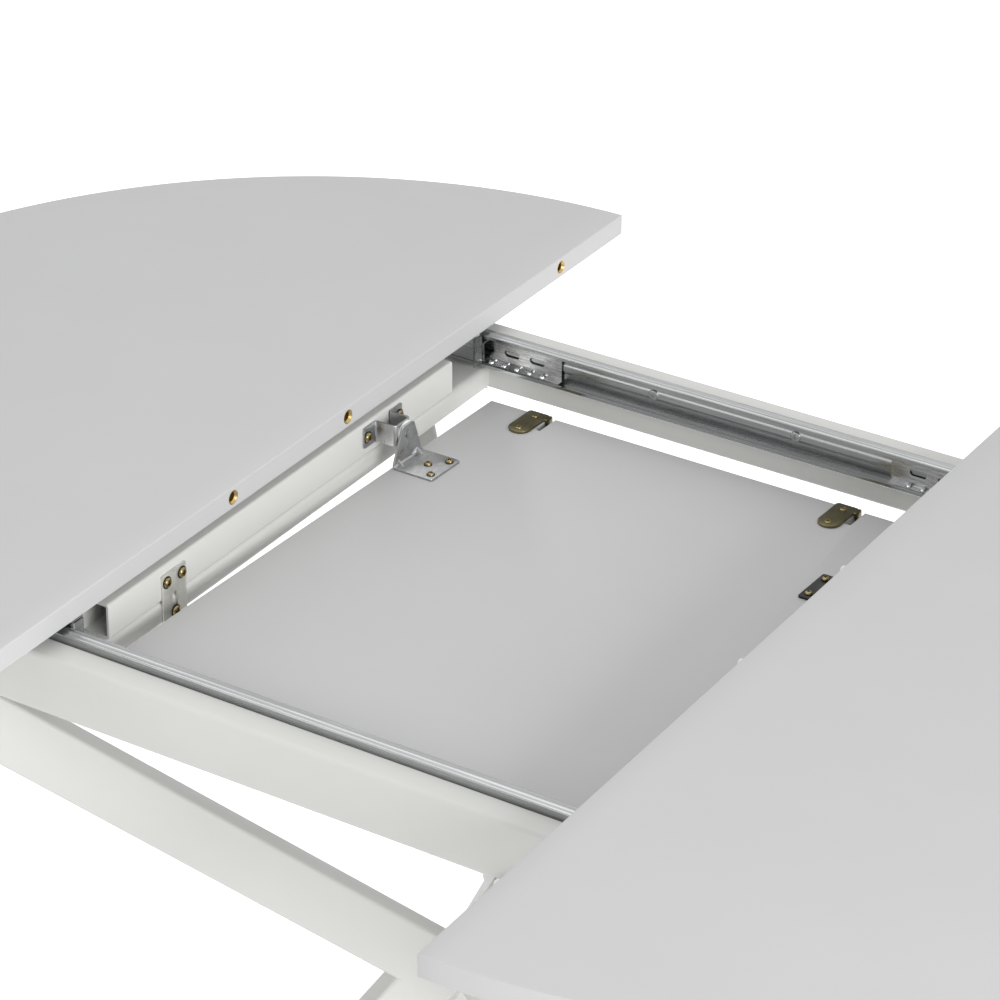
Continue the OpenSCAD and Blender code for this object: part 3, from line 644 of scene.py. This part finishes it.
def build_tube(name, label, axis, corner, finishes):
    """A square or flat tube with rounded corners, open at both ends."""
    low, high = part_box(name)
    tube = block(label, low, high)
    round_edges(tube, runs_along(axis), corner, 4)
    bore_through(tube, axis, 0.002)
    dress(tube, "frame", "frame_white", finishes["frame_white"], name)


WELD_HALF = 12
WELD_STEP = 1.2


def build_welds(finishes):
    """Short painted beads between the lower cross rails and the tubes on them, and at the rails' corners."""
    bead = rod("weld_bead", mm(-WELD_HALF, 0, 0), mm(WELD_HALF, 0, 0), 0.0011, 12)
    for step in range(-9, 10):
        edit(bead, "FACE")
        bpy.ops.mesh.select_all(action="SELECT")
        bpy.ops.mesh.bisect(plane_co=mm(step * WELD_STEP, 0, 0), plane_no=(1, 0, 0))
        close_up()
    for vertex in bead.data.vertices:
        along = vertex.co.x * 1000
        taper = math.sqrt(max(0.02, 1 - (along / (WELD_HALF + 0.5)) ** 2))
        girth = taper * (0.9 + 0.1 * math.cos(along * 2.6))
        vertex.co.y *= girth
        vertex.co.z *= girth
    places = []
    quarter = Matrix.Rotation(math.pi / 2, 4, "Z")
    for way in SIDES.values():
        for y in (-222, -128, 30, 222):
            places.append(Matrix.Translation(mm(way * (CROSS_X + 28), y, CROSS_RAIL_TOP_Z)) @ quarter)
        for end in ENDS.values():
            for x in (CROSS_X + 13, CROSS_X + 37):
                for z in (CROSS_RAIL_TOP_Z, RAIL_LOW_Z):
                    places.append(Matrix.Translation(mm(way * x, end * RAIL_Y, z)))
    welds = copies("frame_weld_beads", bead, places)
    bpy.data.objects.remove(bead)
    dress(welds, "frame", "frame_white", finishes["frame_white"], smooth=60)


def build_leg_arm(name, turn, upper, finishes):
    """A rounded tube along its slope, cut level at the rail or the foot, upright at its outer end."""
    rise = UPPER_RISE if upper else LOWER_RISE
    slope = math.atan(rise)
    tall = RAIL_LOW_Z - KNEE_Z if upper else KNEE_Z - FOOT_Z
    end = KNEE_R + tall / rise - LEG_DEEP / math.sin(slope) + LEG_LAND
    stock_start, stock_end = ARM_STOCK
    low = mm(stock_start, -LEG_WIDE / 2, 0)
    high = mm(stock_end, LEG_WIDE / 2, LEG_DEEP)
    arm = block(f"{name}_tube", low, high)
    round_edges(arm, runs_along(0), 0.004, 4)
    arm.data.transform(Matrix.Translation(mm(KNEE_R, 0, 0)) @ Matrix.Rotation(-slope, 4, "Y"))
    slice_off(arm, mm(0, 0, tall), (0, 0, 1))
    slice_off(arm, mm(end, 0, 0), (1, 0, 0))
    slice_off(arm, mm(0, 0, 0), (0, 0, -1))
    face_out(arm)
    if not upper:
        arm.data.transform(Matrix.Scale(-1, 4, (0, 0, 1)))
        arm.data.flip_normals()
    arm.data.transform(Matrix.Translation(mm(0, 0, KNEE_Z)))
    cut_away(arm, rod("hub_space", mm(0, 0, -10), mm(0, 0, 700), HUB_R * 0.001, 96))
    face_out(arm)
    arm.data.transform(Matrix.Rotation(math.radians(turn), 4, "Z"))
    dress(arm, "frame", "frame_white", finishes["frame_white"], name)


def build_hub(finishes):
    low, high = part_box("leg_hub")
    foot, head = Vector((0, 0, low.z)), Vector((0, 0, high.z))
    hub = rod("leg_hub_tube", foot, head, HUB_R * 0.001, 96)
    bore_through(hub, 2, 0.003)
    soften(hub, 0.0006)
    dress(hub, "frame", "frame_white", finishes["frame_white"], "leg_hub")


def is_rim(edge):
    """Says whether an edge runs round the rim of the glide's disc."""
    return max(v.co.xy.length for v in edge.verts) > 0.0139 and not runs_along(2)(edge)


def build_glides(finishes):
    disc = rod("glide_disc", mm(0, 0, 0), mm(0, 0, 5), 0.014, 48)
    pick(disc, "FACE", face_looks((0, 0, 1)))
    bpy.ops.mesh.inset(thickness=0.0095)
    bpy.ops.mesh.extrude_region_move(TRANSFORM_OT_translate={"value": mm(0, 0, 19.9)})
    close_up()
    round_edges(disc, is_rim, 0.0011, 3)
    for name, turn in LEG_TURNS.items():
        place = Matrix.Rotation(math.radians(turn), 4, "Z") @ Matrix.Translation(mm(FOOT_R, 0, 0))
        glide = copies(f"{name}_glide_disc", disc, [place])
        dress(glide, f"{name}_foot", "glide_plastic", finishes["glide_plastic"], f"{name}_glide")
    bpy.data.objects.remove(disc)


# Slides


def slide_point(end, depth, height, x=0):
    """A point of a slide's section: its depth from the rail's face and its height from the slide's middle."""
    return mm(x, ENDS[end] * (RAIL_Y - depth), SLIDE_Z + height)


CHANNEL_SECTION = (
    [(11.75, 13.25), (11.75, 16.5), (8.6, 16.5), (6.6, 17), (4.6, 16.5), (0.75, 16.5)]
    + [(0.75, 4.2), (1.75, 2.6), (1.75, -2.6), (0.75, -4.2), (0.75, -16.5)]
    + [(4.6, -16.5), (6.6, -17), (8.6, -16.5), (11.75, -16.5), (11.75, -13.25)]
)
RUNNER_SECTION = [(5, -9.25), (13.75, -9.25), (13.75, 9.25), (5, 9.25)]


def build_channel(end, finishes):
    corners = [slide_point(end, depth, height, -CHANNEL_HALF) for depth, height in CHANNEL_SECTION]
    run = mm(2 * CHANNEL_HALF, 0, 0)
    channel = folded_sheet(f"{end}_slide_channel", corners, run, 0.0015, 0.0008)
    dress(channel, "frame", "zinc_steel", finishes["zinc_steel"], f"{end}_channel")


def build_runners(side, finishes):
    made = []
    for end in ENDS:
        start = -HALF_GAP - SLIDE_LONG if side == "left" else HALF_GAP
        corners = [slide_point(end, depth, height, start) for depth, height in RUNNER_SECTION]
        made.append(folded_sheet(f"{side}_{end}_runner", corners, mm(SLIDE_LONG, 0, 0), 0.0015, 0.002))
    runners = join(f"{side}_slide_runners", made)
    dress(runners, f"{side}_half", "zinc_steel", finishes["zinc_steel"], f"{side}_runners")


def build_carriages(side, finishes):
    """The angles that carry a half top on its runners, with an end lip turned in."""
    way = SIDES[side]
    made = []
    for end, along in ENDS.items():
        lip_x = way * (HALF_GAP + 1)
        bend_x = way * (HALF_GAP + 7)
        far_x = way * (HALF_GAP + SLIDE_LONG)
        web = along * CARRIAGE_Y
        low_z = SLIDE_Z - 10
        inner = along * (CARRIAGE_Y - 35)
        corners = [mm(bend_x, web, low_z), mm(bend_x, web, CARRIAGE_TOP_Z), mm(bend_x, inner, CARRIAGE_TOP_Z)]
        made.append(folded_sheet(f"{side}_{end}_angle", corners, mm(far_x - bend_x, 0, 0), 0.002, 0.0022))
        lip_y = along * (CARRIAGE_Y - 13)
        corners = [mm(bend_x, web, low_z), mm(lip_x, web, low_z), mm(lip_x, lip_y, low_z)]
        made.append(folded_sheet(f"{side}_{end}_lip", corners, mm(0, 0, 28.5), 0.002, 0.0022))
    carriages = join(f"{side}_carriage_angles", made)
    dress(carriages, f"{side}_half", "zinc_steel", finishes["zinc_steel"], f"{side}_carriages")


# Screws


def make_screw(name, radius, height, shank, depth, cross):
    """A pan-head screw with a cross recess, its head standing on z = 0."""
    screw = rod(name, mm(0, 0, 0), mm(0, 0, height), radius * 0.001, 28)
    rim = height * 0.001
    round_edges(screw, lambda edge: min(v.co.z for v in edge.verts) > rim - 1e-6, rim * 0.85, 4)
    pick(screw, "FACE", face_looks((0, 0, -1)))
    bpy.ops.mesh.inset(thickness=(radius - shank) * 0.001)
    bpy.ops.mesh.extrude_region_move(TRANSFORM_OT_translate={"value": mm(0, 0, -depth)})
    close_up()
    face_out(screw)
    arm = cross * 0.36
    recess_z = height * 0.25
    for long, wide in ((cross, arm), (arm, cross)):
        slot = block("cross_slot", mm(-long, -wide, recess_z), mm(long, wide, height + 1))
        pick(slot, "FACE", face_looks((0, 0, -1)))
        bpy.ops.transform.resize(value=(0.55, 0.55, 1), center_override=mm(0, 0, recess_z))
        close_up()
        cut_away(screw, slot)
    return screw


def mirrored_x(place, way):
    """The same place on the left side, mirrored on the right."""
    return Matrix.Scale(-1, 4, (1, 0, 0)) @ place if way > 0 else place


def make_shade_ring(name, radius):
    """A dark ring under a screw's head, broken at its outer edge: painted shade that stands for the shadowed
    gap under the head.
    """
    ring = rod(name, mm(0, 0, 0), mm(0, 0, 0.7), radius * 0.001, 32)
    bore_through(ring, 2, 0.002)
    soften(ring, 0.0002)
    return ring


def both_sides(spots, looks):
    """Places on the left side, looking one way, each with its mirror image on the right."""
    return [mirrored_x(at(*spot, looks), way) for way in SIDES.values() for spot in spots]


def build_screws(finishes):
    small = make_screw("small_screw", 3.8, 1.8, 2, 3.6, 2.1)
    base = make_screw("base_screw", 3.3, 2.5, 2, 3.6, 2.3)
    wall = make_screw("wall_screw", 4.7, 2.9, 2, 3.6, 3.2)
    big = make_screw("slide_screw", 5.3, 1.8, 2, 3.4, 2.6)
    flat = make_screw("hinge_screw", 3.4, 1.0, 2, 5, 1.8)
    wall_ring = make_shade_ring("wall_ring", 5.6)
    base_ring = make_shade_ring("base_ring", 3.9)
    brass, steel, dark = finishes["screw_brass"], finishes["bracket_steel"], finishes["screw_shade_ring"]
    ends = []
    for end, looks in (("front", "+Y"), ("back", "-Y")):
        ends += [at(x, ENDS[end] * (RAIL_Y - 1.5), SLIDE_Z, looks) for x in (-360, -72, 72, 360)]
    dress(copies("slide_screws", big, ends), "frame", "zinc_steel", steel, "channel_screws")
    wall_x = SHEET - CROSS_X
    hats = both_sides([(wall_x, HAT_MIDDLE[0] + y, HAT_MIDDLE[1]) for y in (-24.96, 24.96)], "+X")
    dress(copies("pivot_bracket_screws", wall, hats), "frame", "screw_brass", brass, "bracket_screws")
    rest_spots = ((-10.24, 704.16), (10.24, 704.16), (0, 672.5))
    rests = both_sides([(wall_x, REST_Y + y, z) for y, z in rest_spots], "+X")
    dress(copies("rest_screws", wall, rests), "frame", "screw_brass", brass, "rest_plate_screws")
    # Dark rings under the wall screw heads: painted shade for the gap under the heads.
    dress(copies("wall_screw_rings", wall_ring, hats + rests), "frame", "screw_brass", dark)
    shares = ((0, 0.45), (-0.65, 0.15), (0.65, 0.15))
    base_spots = []
    for across, along in shares:
        x = -PLATE_INNER_X - along * 42
        base_spots.append((x, PIVOT[0] + across * PLATE_HALF, LEAF_FACE + SHEET))
    bases = both_sides(base_spots, "+Z")
    plate_screws = lay_on_rests(copies("pivot_base_screws", base, bases))
    dress(plate_screws, "leaf_a", "screw_brass", brass, "pivot_plate_screws")
    # Dark rings under the base screw heads: painted shade for the gap under the heads.
    dress(lay_on_rests(copies("pivot_base_rings", base_ring, bases)), "leaf_a", "screw_brass", dark)
    for letter, height, looks in (("a", LEAF_FACE + 2.5, "+Z"), ("b", FOLD_Z - 23, "-Z")):
        places = [at(x, HINGE_Y - share * 45, height, looks) for x in HINGE_XS for share in (0.2, 0.82)]
        screws = lay_on_rests(copies(f"hinge_screws_{letter}", flat, places))
        dress(screws, f"leaf_{letter}", "screw_brass", brass, f"leaf_hinge_screws_{letter}")
    for side, way in SIDES.items():
        xs = [way * (HALF_GAP + share * SLIDE_LONG) for share in (0.1, 0.5, 0.9)]
        under = [at(x, y, CARRIAGE_TOP_Z - 1, "-Z") for x in xs for y in (-284.5, 284.5)]
        screws = copies(f"{side}_top_screws", small, under)
        dress(screws, f"{side}_half", "zinc_steel", steel, f"{side}_carriage_screws")
    for model in (small, base, wall, big, flat, wall_ring, base_ring):
        bpy.data.objects.remove(model)


# Leaf pivots, rest plates and hinges


HAT_HALF = 30
HAT_CROWN_HALF = 11
HAT_CROWN_X = 224.8
FLANGE_X = 222
FLANGE_TOP_HALF = 9


def build_pivot_bracket(side, finishes):
    """The hat-shaped bracket on the cross tube that holds the pivot."""
    way = SIDES[side]
    middle, height = HAT_MIDDLE
    foot, crown = way * (CROSS_X - 1), way * HAT_CROWN_X
    ends = (middle - HAT_HALF, middle + HAT_HALF)
    near, far = middle - HAT_CROWN_HALF, middle + HAT_CROWN_HALF
    corners = [(foot, ends[0]), (foot, near), (crown, near), (crown, far), (foot, far), (foot, ends[1])]
    corners = [mm(x, y, height - 10) for x, y in corners]
    bracket = folded_sheet(f"{side}_hat_bracket", corners, mm(0, 0, 20), 0.002, 0.0028)

    def is_end(edge):
        y = edge.verts[0].co.y * 1000
        return runs_along(0)(edge) and min(abs(y - end) for end in ends) < 0.1

    round_edges(bracket, is_end, 0.0018, 4)
    soften(bracket, 0.0002)
    dress(bracket, "frame", "bracket_steel", finishes["bracket_steel"], f"{side}_pivot_bracket")


def edge_near(x, y, z):
    """Says whether an edge's middle is within 2 mm of a place in millimetres."""
    return lambda edge: ((edge.verts[0].co + edge.verts[1].co) / 2 - mm(x, y, z)).length < 0.002


def press_rib(way, across):
    """A three-sided rib pressed into the bend of a pivot plate."""
    middle = PIVOT[0]
    foot_z = LEAF_FACE + 1.7
    inner = way * (FLANGE_X - 0.7)
    outer = inner - way * 6
    low = mm(min(inner, outer), middle + across - 2.2, foot_z)
    high = mm(max(inner, outer), middle + across + 2.2, foot_z + 6)
    rib = block("pressed_rib", low, high)
    slice_off(rib, mm(outer, 0, foot_z), (-way, 0, 1))
    pick(rib, "FACE", lambda face: face.normal.z > 0.3)
    bpy.ops.transform.resize(value=(1, 0.25, 1), center_override=mm(inner, middle + across, foot_z + 0.3))
    close_up()
    soften(rib, 0.0004, 3)
    return rib


def build_pivot_plate(side, finishes):
    """The plate on the leaf: a base, a tapered flange bent up to the pivot and two ribs in the bend."""
    way = SIDES[side]
    middle, height = PIVOT
    base_z = LEAF_FACE + 1
    top_z = height + 9.5
    clear_selection()
    bpy.ops.mesh.primitive_plane_add(size=1)
    plate = named(f"{side}_pivot_angle")
    settle()
    base_x, flange_x = way * PLATE_INNER_X, way * FLANGE_X
    places = [mm(x, middle + y, base_z) for x in (base_x, flange_x) for y in (-PLATE_HALF, PLATE_HALF)]
    for vertex, place in zip(plate.data.vertices, places):
        vertex.co = place
    pick(plate, "EDGE", lambda edge: all(abs(v.co.x * 1000 - flange_x) < 0.1 for v in edge.verts))
    bpy.ops.mesh.extrude_edges_move(TRANSFORM_OT_translate={"value": mm(0, 0, top_z - base_z)})
    taper = (1, FLANGE_TOP_HALF / PLATE_HALF, 1)
    bpy.ops.transform.resize(value=taper, center_override=mm(flange_x, middle, top_z))
    close_up()
    round_edges(plate, lambda edge: len(edge.link_faces) == 2, 0.003, 5)
    thicken(plate, 0.002)
    corners = [edge_near(base_x, middle + y, base_z) for y in (-PLATE_HALF, PLATE_HALF)]
    round_edges(plate, lambda edge: runs_along(2)(edge) and any(near(edge) for near in corners), 0.002, 4)
    corners = [edge_near(flange_x, middle + y, top_z) for y in (-FLANGE_TOP_HALF, FLANGE_TOP_HALF)]
    round_edges(plate, lambda edge: runs_along(0)(edge) and any(near(edge) for near in corners), 0.003, 4)
    soften(plate, 0.00022)
    ribs = [press_rib(way, across) for across in (-15, 15)]
    plate = lay_on_rests(join(f"{side}_pivot_angle", [plate] + ribs))
    # The right plate takes the near-black copy of the bracket steel: painted shade for the dark reflection
    # and shadow under the right top.
    finish = "bracket_steel" if side == "left" else "painted_shade_steel"
    dress(plate, "leaf_a", "bracket_steel", finishes[finish], f"{side}_pivot_plate")


def build_rest_plate(side, finishes):
    """The slotted angle on the cross tube that carries the folded leaf."""
    way = SIDES[side]
    wall, shelf = way * (CROSS_X - 1), way * (CROSS_X - 42)
    near = REST_Y - 16
    corners = [mm(wall, near, REST_TOP_Z), mm(wall, near, REST_SHELF_Z), mm(shelf, near, REST_SHELF_Z)]
    plate = folded_sheet(f"{side}_rest_angle", corners, mm(0, 32, 0), 0.002, 0.003)
    soften(plate, 0.00025)
    low = mm(wall - 3, REST_Y - 3.5, RAIL_LOW_Z)
    high = mm(wall + 3, REST_Y + 3.5, RAIL_LOW_Z + 27)
    slot = block("rest_slot", low, high)
    round_edges(slot, runs_along(0), 0.0034, 6)
    cut_away(plate, slot)
    dress(plate, "frame", "zinc_steel", finishes["rest_steel"], f"{side}_rest_plate")


def round_points(radius, start, steps):
    """Points of a half circle from the start angle, in the given number of steps."""
    angles = [start + step * math.pi / steps for step in range(steps + 1)]
    return [(radius * math.cos(angle), radius * math.sin(angle)) for angle in angles]


def build_leaf_hinges(letter, finishes):
    """Hinge leaves with a rounded inner end and a bright broken rim, with their arms down the notches."""
    made = []
    arm_x = 10.8 if letter == "a" else 13.6
    half = HINGE_HALF
    for x in HINGE_XS:
        outline = [(half, -1.2), (half - 1.2, 0), (2 - half, 0), (-half, -2)]
        outline += [(px, py - 34.5) for px, py in round_points(half, math.pi, 12)]
        outline += [(half, -10.4), (arm_x + 2.5, -10.4), (arm_x + 2.5, -1.2)]
        places = [mm(x + px, HINGE_Y + py, LEAF_FACE) for px, py in outline]
        leaf = plate_from("hinge_leaf", places, mm(0, 0, 2.5))
        soften(leaf, 0.0006, 3)
        side = round_points(2.6, math.pi, 8) + [(0, 22.6), (-10.4, 22.6)]
        places = [mm(x + arm_x, HINGE_Y + py, FOLD_Z + pz) for py, pz in side]
        arm = plate_from("hinge_arm", places, mm(2.5, 0, 0))
        soften(arm, 0.0003)
        made += [leaf, arm]
    hinges = join(f"butterfly_hinges_{letter}", made)
    if letter == "b":
        mirror = Matrix.Translation(mm(0, 0, 2 * FOLD_Z)) @ Matrix.Scale(-1, 4, (0, 0, 1))
        hinges.data.transform(mirror)
        hinges.data.flip_normals()
    lay_on_rests(hinges)
    dress(hinges, f"leaf_{letter}", "hinge_brass", finishes["hinge_brass"], f"leaf_hinges_{letter}")


# CAD nodes that stay as they are, with their finishes


KEPT_NODES = {
    "catch_plate": "frame_white",
    "pivot_pins": "bracket_steel",
    "pivot_washers": "nylon",
    "left_top_bushes": "bush_brass",
    "right_top_pins": "nylon",
    "leaf_hinge_pins": "hinge_brass",
    "leaf_pins_a": "nylon",
    "leaf_pins_b": "nylon",
    "leaf_bushes_a": "bush_brass",
    "leaf_bushes_b": "bush_brass",
    "left_cages": "cage_steel",
    "right_cages": "cage_steel",
    "left_balls": "ball_steel",
    "right_balls": "ball_steel",
}


def finish_kept_nodes(finishes):
    for name, finish in KEPT_NODES.items():
        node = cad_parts[name]
        node.data.materials.clear()
        node.data.materials.append(finishes[finish])


# Floor, world and lamps


def is_seen_directly(tree):
    """1 for rays from the camera, in reflections and through glass."""
    path = tree.nodes.new("ShaderNodeLightPath")
    either = arithmetic(tree, "MAXIMUM", path.outputs["Is Camera Ray"], path.outputs["Is Glossy Ray"])
    return arithmetic(tree, "MAXIMUM", either, path.outputs["Is Transmission Ray"])


FLOOR_GLOW = 0.62


def build_floor():
    clear_selection()
    bpy.ops.mesh.primitive_plane_add(size=60)
    floor = named("studio_floor")
    settle()
    material = bpy.data.materials.new("studio_floor")
    material.use_nodes = True
    tree = material.node_tree
    shader = tree.nodes["Principled BSDF"]
    shader.inputs["Base Color"].default_value = (0.86, 0.86, 0.86, 1)
    shader.inputs["Roughness"].default_value = 0.9
    shader.inputs["Specular IOR Level"].default_value = 0.0
    shader.inputs["Emission Color"].default_value = (1, 1, 1, 1)
    glow = arithmetic(tree, "MULTIPLY", is_seen_directly(tree), FLOOR_GLOW)
    tree.links.new(glow, shader.inputs["Emission Strength"])
    floor.data.materials.append(material)


def build_world(strength):
    world = bpy.data.worlds.new("studio")
    bpy.context.scene.world = world
    world.use_nodes = True
    tree = world.node_tree
    light = tree.nodes["Background"]
    light.inputs["Color"].default_value = (1, 1, 1, 1)
    white = tree.nodes.new("ShaderNodeBackground")
    white.inputs["Color"].default_value = (1, 1, 1, 1)
    white.inputs["Strength"].default_value = 1
    light.inputs["Strength"].default_value = strength
    mix = tree.nodes.new("ShaderNodeMixShader")
    tree.links.new(is_seen_directly(tree), mix.inputs["Fac"])
    tree.links.new(light.outputs["Background"], mix.inputs[1])
    tree.links.new(white.outputs["Background"], mix.inputs[2])
    tree.links.new(mix.outputs["Shader"], tree.nodes["World Output"].inputs["Surface"])


def add_lamp(name, place, aim, size, energy):
    lamp = bpy.data.lights.new(name, "AREA")
    lamp.shape = "RECTANGLE"
    lamp.size = size[0]
    lamp.size_y = size[1]
    lamp.energy = energy
    carrier = bpy.data.objects.new(name, lamp)
    carrier.location = place
    carrier.rotation_euler = (Vector(aim) - Vector(place)).to_track_quat("-Z", "Y").to_euler()
    bpy.context.scene.collection.objects.link(carrier)


def build_studio():
    build_floor()
    build_world(0.64)
    add_lamp("soft_key", (4.0, -1.8, 1.9), (0, 0, 0.7), (2.6, 2.0), 150)
    add_lamp("soft_fill", (-3.2, -3.4, 1.8), (0, 0, 0.6), (2.4, 2.0), 22)
    add_lamp("soft_top", (-1.2, 0.6, 4.2), (0, 0, 0.7), (3.0, 3.0), 30)


def build_table():
    finishes = make_finishes()
    for side in SIDES:
        build_half_top(side, finishes)
        build_tube(f"{side}_cross_rail", f"{side}_lower_cross_rail", 1, 0.006, finishes)
        build_tube(f"{side}_cross_tube", f"{side}_upper_cross_tube", 1, 0.0025, finishes)
        build_runners(side, finishes)
        build_carriages(side, finishes)
        build_pivot_bracket(side, finishes)
        build_pivot_plate(side, finishes)
        build_rest_plate(side, finishes)
    for end in ENDS:
        build_tube(f"{end}_rail", f"{end}_long_rail", 0, 0.004, finishes)
        build_channel(end, finishes)
    for letter in ("a", "b"):
        build_leaf_panel(letter, finishes)
        build_leaf_hinges(letter, finishes)
    for name, turn in LEG_TURNS.items():
        build_leg_arm(f"{name}_upper_leg", turn, True, finishes)
        build_leg_arm(f"{name}_lower_leg", turn, False, finishes)
    build_hub(finishes)
    build_glides(finishes)
    build_screws(finishes)
    build_welds(finishes)
    finish_kept_nodes(finishes)


for leftover in ("Cube", "Light", "Camera"):
    if leftover in bpy.data.objects:
        bpy.data.objects.remove(bpy.data.objects[leftover])
set_camera()
build_table()
build_studio()
bpy.context.scene.view_settings.view_transform = "Standard"
